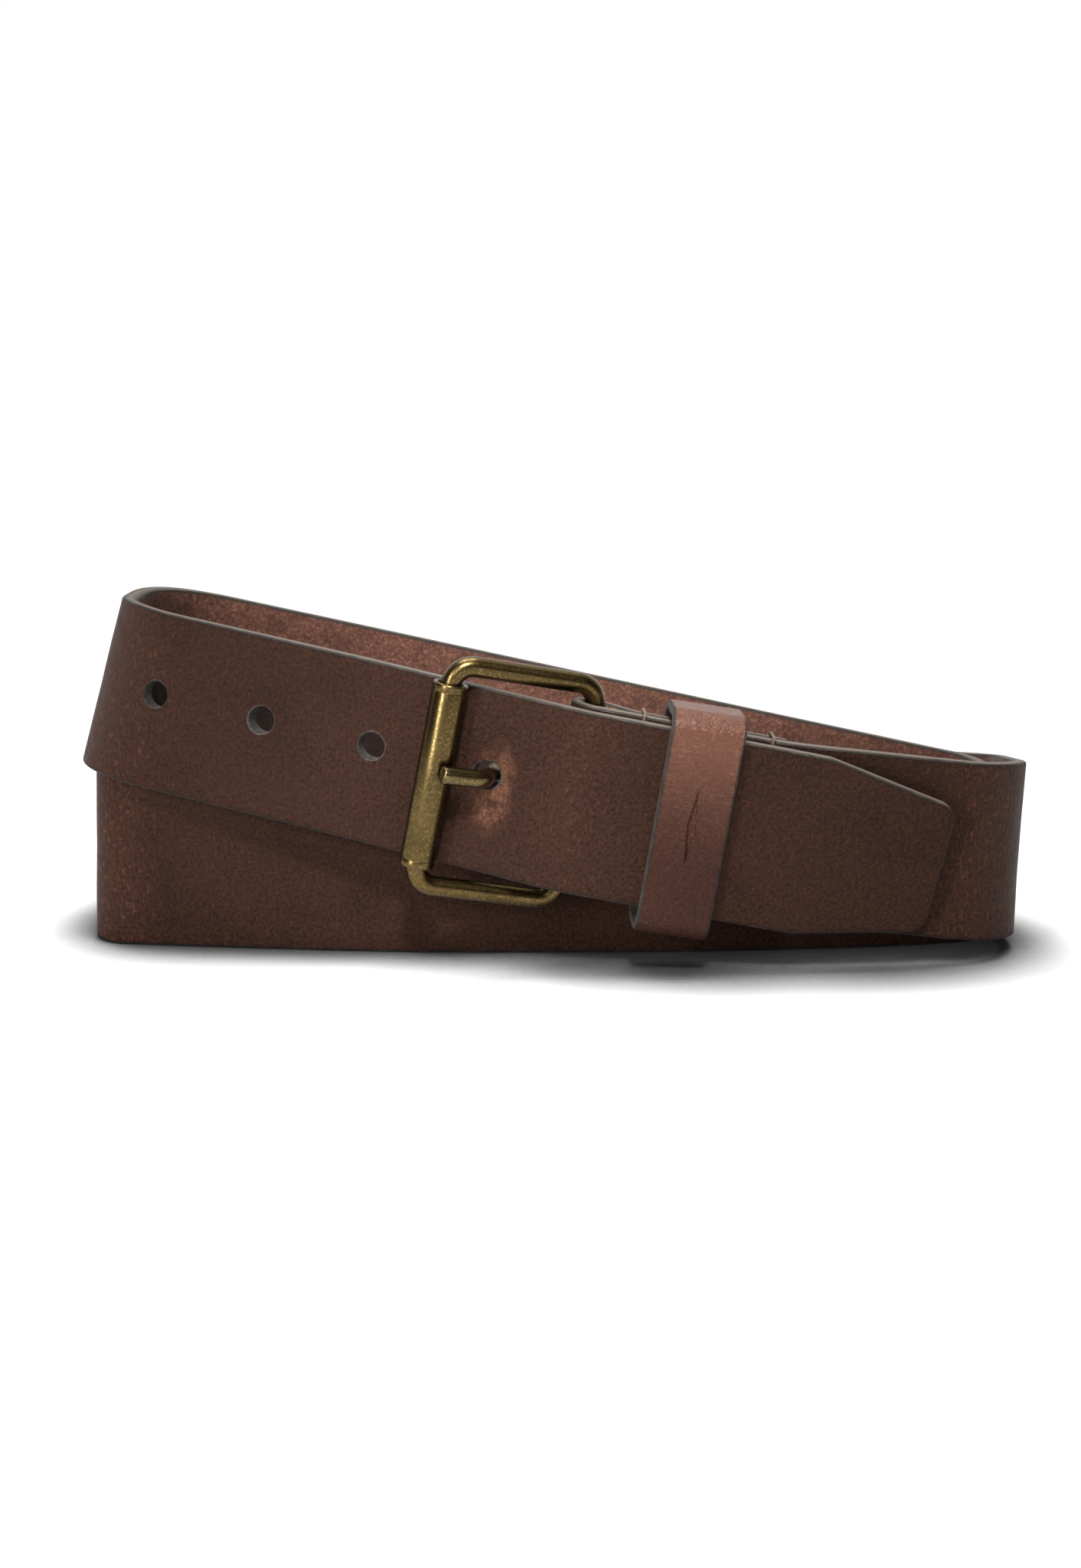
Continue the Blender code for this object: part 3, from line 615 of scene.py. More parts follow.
def cut_by(piece: bpy.types.Object, cutters: Sequence[bpy.types.Object]) -> None:
    """Cuts closed cutters out of a piece for good, and removes them."""
    for cutter in cutters:
        cut = piece.modifiers.new(cutter.name, "BOOLEAN")
        cut.operation = "DIFFERENCE"
        cut.solver = "EXACT"
        cut.material_mode = "INDEX"
        cut.object = cutter
    bpy.context.view_layer.update()
    graph = bpy.context.evaluated_depsgraph_get()
    mesh = bpy.data.meshes.new_from_object(piece.evaluated_get(graph))
    piece.modifiers.clear()
    piece.data = mesh
    mesh.shade_smooth()
    mesh.set_sharp_from_angle(angle=SHARP_ABOVE)
    for cutter in cutters:
        bpy.data.objects.remove(cutter, do_unlink=True)


def spun_cutter(
    name: str, centre: Vector, axis: Vector, profile: Sequence[tuple[float, float]]
) -> bpy.types.Object:
    """A round cutter spun from (radius, height) points that begin and end on the axis."""
    work = bmesh.new()
    turn = Matrix.Translation(centre) @ UP.rotation_difference(axis).to_matrix().to_4x4()
    verts = [work.verts.new((radius, 0, height)) for radius, height in profile]
    edges = [work.edges.new(pair) for pair in zip(verts, verts[1:])]
    bmesh.ops.spin(
        work,
        geom=verts + edges,
        cent=(0, 0, 0),
        axis=(0, 0, 1),
        angle=2 * pi,
        steps=40,
        use_merge=True,
    )
    bmesh.ops.remove_doubles(work, verts=work.verts, dist=1e-6)
    bmesh.ops.recalc_face_normals(work, faces=work.faces)
    bmesh.ops.transform(work, matrix=turn, verts=work.verts)
    return as_cutter(name, work)


def box_cutter(
    name: str, centre: Vector, axes: Sequence[Vector], sizes: Sequence[float]
) -> bpy.types.Object:
    """A box cutter along three directions, with softened long edges."""
    work = bmesh.new()
    turn = Matrix([tuple(axis) for axis in axes]).transposed().to_4x4()
    bmesh.ops.create_cube(work, size=1, matrix=Matrix.Diagonal((*sizes, 1)))
    bmesh.ops.bevel(
        work,
        geom=work.edges[:],
        offset=min(sizes) * 0.2,
        segments=2,
        profile=0.5,
        affect="EDGES",
        material=-1,
    )
    bmesh.ops.transform(work, matrix=Matrix.Translation(centre) @ turn, verts=work.verts)
    bmesh.ops.recalc_face_normals(work, faces=work.faces)
    return as_cutter(name, work)


def as_cutter(name: str, work: bmesh.types.BMesh) -> bpy.types.Object:
    """Links a cutter whose faces carry the slot of a bored wall."""
    for face in work.faces:
        face.material_index = Skin.BORE.value
    return linked(name, finished(work, name))


# --------------------------------------------------------------------------- the stacked straps


@dataclass(frozen=True)
class StrapCut:
    """Sizes the strap is cut and punched to."""

    width: float = 0.038
    thickness: float = 0.0036
    edge_round: float = 0.0006
    tip_length: float = 0.0275
    tip_width: float = 0.0273
    tip_corner: float = 0.003
    hole: float = 0.0058
    hole_pitch: float = 0.025
    holes: int = 5
    first_hole: float = 0.0955
    used_from_heel: float = 0.0192
    hole_rise: float = 0.0015
    flap_thickness: float = 0.0024
    flap_length: float = 0.0405
    flap_join: float = 0.0085

    def half_width_at(self, distance: float) -> float:
        """Half width at a distance from the tip, with the taper and its rounded corners."""
        half = self.width / 2
        if distance >= self.tip_length:
            return half
        half += (self.tip_width / 2 - half) * (1 - distance / self.tip_length)
        short = max(self.tip_corner - distance, 0)
        return half - self.tip_corner + (self.tip_corner**2 - short**2) ** 0.5


@dataclass(frozen=True)
class Stack:
    """The straps and the buckle's bars as they lie on each other at the heel bar."""

    cut: StrapCut = StrapCut()
    wire: float = 0.0042
    roller: float = 0.0072
    gap: float = 0.0003
    heel: Vector = Vector(joint("frame_swing")["pos_m"])
    across: Vector = Vector(joint("frame_swing")["axis"]).normalized()
    along: Vector = Vector(joint("keeper_slide")["axis"]).normalized()

    @property
    def out(self) -> Vector:
        """Away from the wearer."""
        return self.across.cross(-self.along).normalized()

    @property
    def main_offset(self) -> float:
        """From the heel bar out to the middle of the strap that holds it."""
        return self.wire / 2 + self.gap + self.cut.thickness / 2

    @property
    def upper_offset(self) -> float:
        """From the heel bar out to the middle of the strap that lies on top."""
        return self.main_offset + self.cut.thickness + self.gap

    @property
    def join_offset(self) -> float:
        """From the heel bar out to the middle line of the folded flap."""
        return self.main_offset - self.cut.thickness - self.gap

    @property
    def flap_back(self) -> float:
        """From the heel bar out to the flap's grain face."""
        return self.join_offset + self.cut.thickness / 2 - self.cut.flap_thickness

    @property
    def reach(self) -> Vector:
        """From the heel bar to the roller, square to both."""
        span = Vector(joint("roller_spin")["pos_m"]) - self.heel
        return (span - self.across * span.dot(self.across)).normalized()

    @property
    def frame_reach(self) -> float:
        """Distance between the two bars of the buckle."""
        return (Vector(joint("roller_spin")["pos_m"]) - self.heel).dot(self.reach)

    @property
    def frame_drop(self) -> float:
        """How far the roller's middle sits below the strap's middle line."""
        return (self.heel - Vector(joint("roller_spin")["pos_m"])).dot(self.across)

    @property
    def face(self) -> Vector:
        """Outward from the buckle's own plane."""
        return self.across.cross(self.reach).normalized()

    @property
    def swing(self) -> float:
        """Angle of the buckle's plane out of the straps."""
        return asin(self.reach.dot(self.out))

    @property
    def upper_turn(self) -> float:
        """Angle by which the top strap bends over the heel bar to pass behind the roller."""
        behind = self.roller / 2 + self.gap + self.cut.thickness / 2
        return asin((self.upper_offset + behind) / self.frame_reach) - self.swing

    def point(self, along: float, out: float, across: float = 0.0) -> Vector:
        """A place by its distance along the straps, out of them and across them."""
        return self.heel + self.along * along + self.out * out + self.across * across

    def in_buckle(self, reach: float, face: float, across: float = 0.0) -> Vector:
        """A place in the buckle's own plane."""
        return self.heel + self.reach * reach + self.face * face + self.across * across


@dataclass(frozen=True)
class CoilRoute:
    """The line that the strap follows from its tip, twice round the coil, to the folded flap.

    Walls are given before the coil is centred on its base; the heel bar's joint gives the shift.
    """

    stack: Stack
    upper_left: float = -0.0953
    lower_left: float = -0.0972
    right: float = 0.0980
    back_left: float = 0.0338
    back_right: float = 0.0145
    front_left: float = -0.0039
    front_right: float = -0.0029
    bulge: float = 0.0086
    left_bend: float = 0.0205
    right_bend: float = 0.0085
    buckle: tuple[float, float, float] = (0.0077, -0.0256, 0.0382)
    heading: float = radians(3.5)
    tilt: float = radians(11.3)
    stack_lean: float = radians(3.0)
    left_tilt: float = radians(16.0)
    tip_tilt: float = radians(9.0)
    wall_lean: float = radians(1.7)
    sag: float = 0.0006
    lap_gap: float = 0.0009
    edge_lift: float = 0.0003
    step: float = 0.0005
    window: float = 0.012

    @property
    def shift(self) -> Vector:
        """From the row frame to the frame in which the walls are given."""
        return Vector(self.buckle) - self.stack.heel

    @staticmethod
    def leaning(tilt: float, lean: float) -> Vector:
        """Across direction of a wall, tilted along X and leaning along Y."""
        return Vector((sin(tilt), sin(lean), cos(tilt))).normalized()

    def stacked(self, along: float, out: float, sag: float = 0.0) -> Vector:
        """A place on the stacked straps, in the frame of the walls."""
        return self.stack.point(along, out, -sag) + self.shift

    def upper_corners(self) -> list[tuple[Vector, float, Vector]]:
        """Corners of the upper lap as (point, bend radius in plan, across direction)."""
        stack, cut = self.stack, self.stack.cut
        offset, across = stack.upper_offset, stack.across
        high = cut.width + self.edge_lift + cut.width / 2 * cos(self.left_tilt)
        span = self.right - self.upper_left
        slope = (self.back_left - self.back_right) / span
        over_heel = self.stacked(-offset * tan(stack.upper_turn / 2), offset, self.sag)
        away = -stack.along * cos(stack.upper_turn) - stack.out * sin(stack.upper_turn)
        past = over_heel + away * (stack.frame_reach + 0.014)
        left = self.leaning(self.left_tilt, 0)
        back = self.leaning(self.tilt, self.wall_lean)
        level_out = UP.cross(-stack.along).normalized()
        plumb = (-stack.along).cross(level_out).normalized()
        at_tip = (across + self.leaning(self.tip_tilt, -self.stack_lean) - plumb).normalized()
        front_y = past.y + tan(radians(17)) * (past.x - self.upper_left)
        ground = cut.width / 2
        fall_y = self.back_right + slope * span * 0.26
        fall = Vector((self.right - span * 0.26, fall_y, ground + (high - ground) * 0.26))
        return [
            (self.stacked(cut.first_hole - cut.used_from_heel, offset, self.sag), 0.0, at_tip),
            (self.stacked(cut.flap_length * 1.1, offset, self.sag), 0.0, across),
            (over_heel, offset, across),
            (past, 0.20, across),
            (Vector((self.upper_left, front_y, high + 0.0002)), self.left_bend, left),
            (Vector((self.upper_left, self.back_left, high + 0.0006)), self.left_bend * 0.85, left),
            (fall, 0.0, back),
        ]

    def lower_corners(self) -> list[tuple[Vector, float, Vector]]:
        """Corners of the two lower laps and of the strap's run back to the buckle."""
        stack, cut = self.stack, self.stack.cut
        ground = cut.width / 2
        pitch = cut.thickness + self.lap_gap
        slope = (self.back_left - self.back_right) / (self.right - self.upper_left)
        span = self.right - self.lower_left
        bulge = self.front_left - self.bulge
        right = self.leaning(self.wall_lean, 0)
        outer_x = self.right + pitch
        outer_y = self.back_right + pitch * (1.01 - slope)
        left_y = self.back_left + pitch * 1.01
        leave = self.stacked(cut.flap_length + 0.001, stack.main_offset)
        front_y = leave.y + tan(self.heading + radians(2)) * (outer_x - leave.x)
        run = [
            (self.right, self.back_right, 0.0, self.right_bend, right),
            (self.right, self.front_right, 0.0, self.right_bend, UP),
            (self.right - span * 0.113, bulge * 0.61, 0.0, 0.15, UP),
            (self.right - span * 0.324, bulge * 0.96, 0.0, 0.30, UP),
            (self.lower_left + span * 0.352, bulge * 0.97, 0.0, 0.30, UP),
            (self.lower_left + span * 0.147, bulge * 0.64, 0.0, 0.15, UP),
            (self.lower_left, self.front_left, 0.0, 0.008, self.leaning(self.wall_lean * 1.4, 0)),
            (self.lower_left, left_y, 0.0, 0.012, self.leaning(self.wall_lean, self.wall_lean)),
            (outer_x, outer_y, 0.0, self.right_bend + pitch, right),
            (outer_x, front_y, 0.0044, 0.018, right),
        ]
        corners = [(Vector((x, y, ground + z)), radius, lean) for x, y, z, radius, lean in run]
        corners.append((leave, 0.15, stack.across))
        corners.append((self.stacked(0, stack.main_offset), 0.0, stack.across))
        return corners

    def smoothed(self, values: np.ndarray) -> np.ndarray:
        """Averages over a window, keeping straight parts straight to the ends."""
        half = int(self.window / self.step)
        kernel = np.hanning(2 * half + 3)[1:-1]
        start = values[0] + (values[0] - values[1]) * np.arange(half, 0, -1)
        end = values[-1] + (values[-1] - values[-2]) * np.arange(1, half + 1)
        return np.convolve(np.concatenate((start, values, end)), kernel / kernel.sum(), "valid")

    def sampled(self) -> tuple[np.ndarray, np.ndarray, np.ndarray, np.ndarray]:
        """The route up to the fold.

        Returns:
            Distances from the tip, points, tangents and across directions, in the row frame.
        """
        corners = self.upper_corners() + self.lower_corners()
        plan: list[np.ndarray] = []
        knots: list[tuple[int, Vector, Vector]] = []
        for index, (corner, radius, across) in enumerate(corners):
            if radius == 0:
                arc = [np.array(corner[:2])]
            else:
                near = [corners[index - 1][0], corner, corners[index + 1][0]]
                flat = [(*point[:2], radius) for point in near]
                arc = filleted(flat, radians(5))[1:-1]
            knots.append((len(plan) + (len(arc) - 1) // 2, corner, across))
            plan += arc
        plan = np.array(plan)
        length = np.concatenate(([0], np.cumsum(np.linalg.norm(np.diff(plan, axis=0), axis=1))))
        dense = np.linspace(0, length[-1], int(length[-1] / self.step) + 1)
        at = length[[place for place, _, _ in knots]]
        kept = np.array([(point.z, *across) for _, point, across in knots])
        held = np.array([self.smoothed(np.interp(dense, at, kept[:, item])) for item in range(4)])
        spots = [np.interp(dense, length, plan[:, axis]) for axis in (0, 1)]
        points = np.stack((*spots, held[0]), axis=1)
        tangents = unit(np.gradient(points, axis=0))
        lean = held[1:].T
        acrosses = unit(lean - (lean * tangents).sum(axis=1)[:, None] * tangents)
        steps = np.linalg.norm(np.diff(points, axis=0), axis=1)
        distances = np.concatenate(([0], np.cumsum(steps)))
        return distances, points - np.array(self.shift), tangents, acrosses

    def fold(self) -> np.ndarray:
        """The line round the heel bar and back along the flap."""
        stack, cut = self.stack, self.stack.cut
        radius, joined = stack.main_offset, stack.join_offset
        slope = atan((radius + joined) / (cut.flap_join - 0.0012))
        count = 40
        line = []
        for part in range(1, count + 1):
            angle = pi / 2 - (pi + slope) * part / count
            line.append((-radius * cos(angle), radius * sin(angle)))
        meet = line[-1][0] + (joined - line[-1][1]) / tan(slope)
        ease = 0.0014
        line.append((meet - ease, joined - ease * tan(slope)))
        line.append((meet, joined - ease * tan(slope) * 0.30))
        line += [(meet + ease, joined), (cut.flap_length * 0.6, joined)]
        line += [(cut.flap_length - cut.edge_round * share, joined) for share in (1, 0.6, 0.2, 0)]
        return np.array([tuple(stack.point(along, out)) for along, out in line])


@dataclass
class Strap:
    """The whole strap: tapered tip, five holes, two laps, fold and flap."""

    stack: Stack
    route: CoilRoute
    across_cells: int = 14
    turn_per_cell: float = radians(2.4)
    longest_cell: float = 0.0016
    swell: float = 0.00006
    waves: tuple[tuple[float, float], ...] = ((38, 0.00022), (120, 0.00006))
    hole_lip: float = 0.00045
    slot: float = 0.0052
    slot_reach: float = 0.007
    groove: tuple[float, float] = (0.0012, 0.0018)

    def __post_init__(self) -> None:
        """Samples the route once."""
        self.distances, self.points, self.tangents, self.acrosses = self.route.sampled()
        turning = np.linalg.norm(np.gradient(self.tangents, axis=0), axis=1) / self.route.step
        self.bends = np.clip(self.route.smoothed(turning) * 0.018, 0, 1)

    def stations(self) -> np.ndarray:
        """Samples to build on: close together in bends and round the tip, wider elsewhere."""
        cut = self.stack.cut
        turning = np.linalg.norm(np.gradient(self.tangents, axis=0), axis=1)
        turning += np.linalg.norm(np.gradient(self.acrosses, axis=0), axis=1)
        need = np.cumsum(turning / self.turn_per_cell + self.route.step / self.longest_cell)
        picks = np.unique(np.searchsorted(need, np.arange(need[0], need[-1], 1.0)))
        marks = np.concatenate((np.linspace(0, cut.tip_corner, 7), [cut.tip_length]))
        marked = np.searchsorted(self.distances, marks)
        return np.union1d(np.union1d(picks, marked), [0, len(self.points) - 1])

    def section(self, half: float, low: float, high: float, inset: float) -> list:
        """Outline of the strap's section.

        Args:
            half: Half the width.
            low: Offset of the flesh face.
            high: Offset of the grain face.
            inset: How far the whole outline is drawn in, at a rounded end.

        Returns:
            (depth, across) points, up the flesh face and back down the grain face.
        """
        curve = self.stack.cut.edge_round
        low, high, half = low + inset, high - inset, half - inset
        flat = np.linspace(-1, 1, self.across_cells + 1)
        arcs = rounded(curve)
        up_edge = [(low + rise, half - draw) for rise, draw in arcs]
        down_edge = [(high - rise, half - draw) for rise, draw in reversed(arcs)]
        flesh = [(low, (half - curve) * share) for share in flat[1:-1]]
        right = [*up_edge, ((low + high) / 2, half + self.swell), *down_edge]
        grain = [(high, -(half - curve) * share) for share in flat[1:-1]]
        left = [(depth, -side) for depth, side in reversed(right)]
        return flesh + right + grain + left

    def ring(
        self,
        index: float,
        point: np.ndarray,
        tangent: np.ndarray,
        across: np.ndarray,
        **size: float,
    ) -> tuple[list[Vector], list[tuple[float, ...]]]:
        """One station of the strap.

        Args:
            index: Distance from the tip.
            point: Middle of the strap.
            tangent: Direction of the strap.
            across: Direction of its width.
            size: The flesh and grain offsets low and high, and the end's inset.

        Returns:
            The points and their pattern values.
        """
        cut = self.stack.cut
        half = cut.half_width_at(index)
        out = Vector(np.cross(across, tangent)).normalized()
        bend_and_sheen = float(np.interp(index, self.distances, self.bends))
        ring, values = [], []
        for depth, side in self.section(half, **size):
            spot = Vector(point) + out * depth + Vector(across) * side
            wave = sum(noise.noise(spot * pitch) * height for pitch, height in self.waves)
            ring.append(spot + out * wave * min(1, index / 0.01))
            share = (depth - size["low"]) / (size["high"] - size["low"])
            outline = min(half - abs(side), index + 0.0002)
            values.append((index, side, share, outline, bend_and_sheen))
        return ring, values

    def ribbon(self) -> bpy.types.Mesh:
        """The uncut strap, lofted from the tip to the flap's end."""
        cut = self.stack.cut
        half = cut.thickness / 2
        loft = Loft()
        ease = cut.edge_round
        for share in (0.0, 0.25, 0.6):
            inset = ease - (ease**2 - (ease * (1 - share)) ** 2) ** 0.5
            spot = self.points[0] + self.tangents[0] * ease * share
            at = (ease * share, spot, self.tangents[0], self.acrosses[0])
            loft.add(*self.ring(*at, low=-half, high=half, inset=inset))
        for index in self.stations()[2:]:
            at = (self.distances[index], self.points[index], self.tangents[index])
            loft.add(*self.ring(*at, self.acrosses[index], low=-half, high=half, inset=0.0))
        fold = self.route.fold()
        tangents = unit(np.gradient(np.vstack((self.points[-2], fold)), axis=0)[1:])
        steps = np.linalg.norm(np.diff(np.vstack((self.points[-1], fold)), axis=0), axis=1)
        distances = self.distances[-1] + np.cumsum(steps)
        skived = cut.thickness - cut.flap_thickness
        for index, point in enumerate(fold):
            high = half - skived * min((index + 1) / 20, 1)
            inset = ease * (0.0, 0.08, 0.4, 0.9)[max(index - len(fold) + 4, 0)]
            across = np.array(self.stack.across)
            at = (distances[index], point, tangents[index], across)
            loft.add(*self.ring(*at, low=-half, high=high, inset=inset))
        return loft.mesh("strap", leather=True)

    def hole_cutters(self) -> list[bpy.types.Object]:
        """Punches with a flared shoulder, which leaves each hole a rounded lip."""
        cut = self.stack.cut
        radius, lip, half = cut.hole / 2, self.hole_lip, cut.thickness / 2
        shoulder = [(radius + lip * (1 - cos(a)), half - lip * (1 - sin(a))) for a in QUARTER]
        top = shoulder[-1][0] + 0.0004
        low, high = -half * 2, half * 1.6
        profile = [(0, low), (radius, low), *shoulder, (top, high), (0, high)]
        cutters = []
        for number in range(cut.holes):
            want = cut.first_hole + number * cut.hole_pitch
            at = int(np.searchsorted(self.distances, want))
            across = Vector(self.acrosses[at])
            axis = across.cross(Vector(self.tangents[at]))
            centre = Vector(self.points[at]) + across * cut.hole_rise
            cutters.append(spun_cutter(f"punch_{number + 1}", centre, axis, profile))
        return cutters

    def slot_cutters(self, rise: float, opening: float) -> list[bpy.types.Object]:
        """The slot in the fold that the prong's eye turns in."""
        stack = self.stack
        outer = stack.main_offset + stack.cut.thickness / 2 + stack.gap
        half = opening / 2
        round_part = [(0, -half), (outer, -half), (outer, half), (0, half)]
        centre = stack.point(0, 0, rise)
        axes = (stack.along, stack.out, stack.across)
        size = (self.slot_reach, outer * 2, opening)
        back = box_cutter("slot_back", stack.point(size[0] / 2, 0, rise), axes, size)
        return [spun_cutter("slot_round", centre, stack.across, round_part), back]

    def groove_cutters(self, rows: Sequence[float]) -> list[bpy.types.Object]:
        """The grooves that sink each stitch row into both faces of the folded end."""
        stack, cut = self.stack, self.stack.cut
        axes = (stack.along, stack.out, stack.across)
        size = (*self.groove, cut.width * 1.1)
        cutters = []
        for where in rows:
            for face in (stack.main_offset + cut.thickness / 2, stack.flap_back):
                cutters.append(box_cutter("groove", stack.point(where, face), axes, size))
        return cutters

    def build(self, prong_rise: float, rows: Sequence[float]) -> bpy.types.Object:
        """Builds, punches and dresses the strap."""
        cut = self.stack.cut
        used = cut.first_hole
        finishes = [
            GrainLeather("strap_grain", crease_at=used).material(),
            FleshLeather().material(),
            CutEdge().material(),
            BoreLeather().material(),
        ]
        piece = dressed(self.ribbon(), "belt", "strap", finishes)
        cutters = self.hole_cutters() + self.slot_cutters(prong_rise, self.slot)
        cut_by(piece, cutters + self.groove_cutters(rows))
        return piece


@dataclass
class StitchRow:
    """One row of twisted thread in its grooves and over both edges of the folded end."""

    stack: Stack
    node: str
    where: float
    thread: float = 0.0007
    air: float = 0.00015
    plies: int = 3
    twist: float = 0.0024
    per_turn: int = 12

    def line(self) -> list[Vector]:
        """The closed middle line of the thread."""
        stack, radius = self.stack, self.thread / 2
        front = stack.main_offset + stack.cut.thickness / 2 - radius - self.air
        back = stack.flap_back + radius + self.air
        top = stack.cut.width / 2 + stack.gap + radius
        corners = [(front, 0, 0), (front, top, 0.0006), (back, top, 0.0006)]
        corners += [(back, -top, 0.0006), (front, -top, 0.0006), (front, 0, 0)]
        turns = round(evenly(corners, radians(15))[1] / self.twist)
        spots = evenly(corners, radians(15), turns * self.per_turn + 1)[0][:-1]
        return [stack.point(self.where, out, across) for out, across in spots]

    def build(self, finish: bpy.types.Material) -> bpy.types.Object:
        """Lays the plies round each other and dresses the row."""
        line = self.line()
        turns = len(line) // self.per_turn
        ply = self.thread / 4.4
        curve = bpy.data.curves.new(self.node, "CURVE")
        curve.dimensions = "3D"
        curve.bevel_depth = self.thread / 3.6
        curve.bevel_resolution = 1
        side = self.stack.along
        for strand in range(self.plies):
            spline = curve.splines.new("POLY")
            spline.points.add(len(line) - 1)
            spline.use_cyclic_u = True
            for index, point in enumerate(line):
                tangent = (line[(index + 1) % len(line)] - line[index - 1]).normalized()
                other = side.cross(tangent).normalized()
                angle = 2 * pi * (turns * index / len(line) + strand / self.plies)
                spot = point + (side * cos(angle) + other * sin(angle)) * ply
                spline.points[index].co = (*spot, 1)
        holder = linked(self.node, curve)
        bpy.context.view_layer.update()
        graph = bpy.context.evaluated_depsgraph_get()
        mesh = bpy.data.meshes.new_from_object(holder.evaluated_get(graph))
        bpy.data.objects.remove(holder, do_unlink=True)
        mesh.materials.clear()
        return dressed(mesh, "belt", self.node, [finish])


# --------------------------------------------------------------------------- the buckle


@dataclass
class Buckle:
    """The wire frame, its roller and its prong."""

    stack: Stack
    inner_height: float = 0.0426
    corner: float = 0.0044
    roller_length: float = 0.0389
    roller_wall: float = 0.0009
    prong: float = 0.0037
    eye: float = 0.0015
    prong_rise: float = 0.0009
    frame_points: int = 260
    wire_sides: int = 36
    roller_rim: float = 0.0004
    roller_steps: int = 64

    def frame_mesh(self) -> bpy.types.Mesh:
        """The closed wire rectangle, with the butt weld of the heel bar smoothed away."""
        stack = self.stack
        half = self.inner_height / 2 + stack.wire / 2
        reach, curve = stack.frame_reach, self.corner
        corners = [(0, 0, 0), (0, half, curve), (reach, half, curve)]
        corners += [(reach, -half, curve), (0, -half, curve), (0, 0, 0)]
        spots = evenly(corners, radians(7.5), self.frame_points)[0][:-1]
        drop = stack.frame_drop
        points = [stack.in_buckle(far, 0, across - drop) for far, across in spots]
        size = [(stack.wire / 2, stack.wire / 2)] * len(points)
        rings = TubeLine(points, stack.face, self.wire_sides).rings(size, closed=True)
        work = bmesh.new()
        bmesh.ops.create_circle(work, segments=self.wire_sides, radius=1)
        start = list(work.verts)
        edges = list(work.edges)
        for vert, point in zip(start, rings[0]):
            vert.co = point
        loop = start
        for ring in rings[1:]:
            made = bmesh.ops.extrude_edge_only(work, edges=edges)["geom"]
            fresh = {item for item in made if isinstance(item, bmesh.types.BMVert)}
            edges = [
                item
                for item in made
                if isinstance(item, bmesh.types.BMEdge) and set(item.verts) <= fresh
            ]
            across_to = [[edge.other_vert(vert) for edge in vert.link_edges] for vert in loop]
            loop = [next(vert for vert in others if vert in fresh) for others in across_to]
            for vert, point in zip(loop, ring):
                vert.co = point
        first = [edge for edge in work.edges if edge.is_boundary]
        bmesh.ops.bridge_loops(work, edges=first)
        bmesh.ops.recalc_face_normals(work, faces=work.faces)
        return finished(work, "buckle_frame")

    def roller_mesh(self) -> bpy.types.Mesh:
        """The rolled tube, with turned-in rounded rims and a shallow groove near each end."""
        stack = self.stack
        outer, half = stack.roller / 2, self.roller_length / 2
        inner, rim = outer - self.roller_wall, self.roller_rim
        top_out = [(outer - rim * (1 - cos(a)), half - rim * (1 - sin(a))) for a in QUARTER]
        top_in = [(inner + rim * (1 - sin(a)), half - rim * (1 - cos(a))) for a in QUARTER]
        upper = top_out + top_in
        groove = [(outer, half - 0.0019), (outer - 0.00007, half - 0.0017), (outer, half - 0.0015)]
        lower = [(radius, -height) for radius, height in reversed(groove + upper)]
        profile = groove + upper + lower
        centre = stack.in_buckle(stack.frame_reach, 0, -stack.frame_drop)
        work = bmesh.new()
        verts = [work.verts.new(centre + stack.reach * r + stack.across * z) for r, z in profile]
        edges = [work.edges.new(pair) for pair in zip(verts, verts[1:] + verts[:1])]
        bmesh.ops.spin(
            work,
            geom=verts + edges,
            cent=centre,
            axis=stack.across,
            angle=2 * pi,
            steps=self.roller_steps,
            use_merge=True,
        )
        bmesh.ops.recalc_face_normals(work, faces=work.faces)
        return finished(work, "roller")

    def prong_line(self) -> tuple[list[np.ndarray], list[tuple[float, float]]]:
        """The prong's middle line in the buckle's plane, and its half sizes along it."""
        stack, cut = self.stack, self.stack.cut
        slope = stack.upper_turn + stack.swing
        normal = np.array((sin(slope), cos(slope)))
        heading = np.array((cos(slope), -sin(slope)))
        straight = cut.used_from_heel - stack.upper_offset * stack.upper_turn
        hole = normal * stack.upper_offset + heading * straight
        thin, full = self.eye / 2, self.prong / 2
        eye = stack.wire / 2 + stack.gap + thin
        low = hole - normal * (cut.thickness / 2 + 0.0028)
        end = np.array((stack.frame_reach - 0.0003, stack.roller / 2 + stack.gap + full + 0.00005))
        rise = tan(radians(5.0))
        lift = (end[1] - hole[1] - (end[0] - hole[0]) * rise) / (normal[1] - normal[0] * rise)
        high = hole + normal * lift
        last = 1.5 * pi + np.arctan2(low[1] + eye, low[0])
        turns = np.linspace(radians(-12), last, 49)
        points = [np.array((eye * cos(angle), eye * sin(angle))) for angle in turns]
        sizes = [(thin, full)] * len(points)
        bends = [(*points[-1], 0), (*low, 0.0031), (*high, 0.0036), (*end, 0)]
        away = filleted(bends, radians(5))[1:]
        leave = points[-1]
        for share in np.linspace(0.1, 0.9, 9):
            points.append(leave + (away[0] - leave) * share)
            sizes.append((thin + (full - thin) * min(share * 1.25, 1), full))
        points += away[:-1]
        sizes += [(full, full)] * (len(away) - 1)
        final = away[-1] - away[-2]
        for share in (0.2, 0.5, 0.8, 0.93):
            points.append(away[-2] + final * share)
            sizes.append((full, full * (1 + 0.03 * share)))
        for share, inset in ((0.955, 0.00005), (0.98, 0.00018), (1.0, 0.00042)):
            points.append(away[-2] + final * share)
            sizes.append((full - inset, full * 1.03 - inset))
        return points, sizes

    def prong_mesh(self) -> bpy.types.Mesh:
        """The prong, lofted from its eye to its flat-cut end."""
        points, sizes = self.prong_line()
        world = [self.stack.in_buckle(far, face, self.prong_rise) for far, face in points]
        loft = Loft()
        for ring in TubeLine(world, self.stack.across, 32).rings(sizes):
            loft.add(ring)
        return loft.mesh("prong")

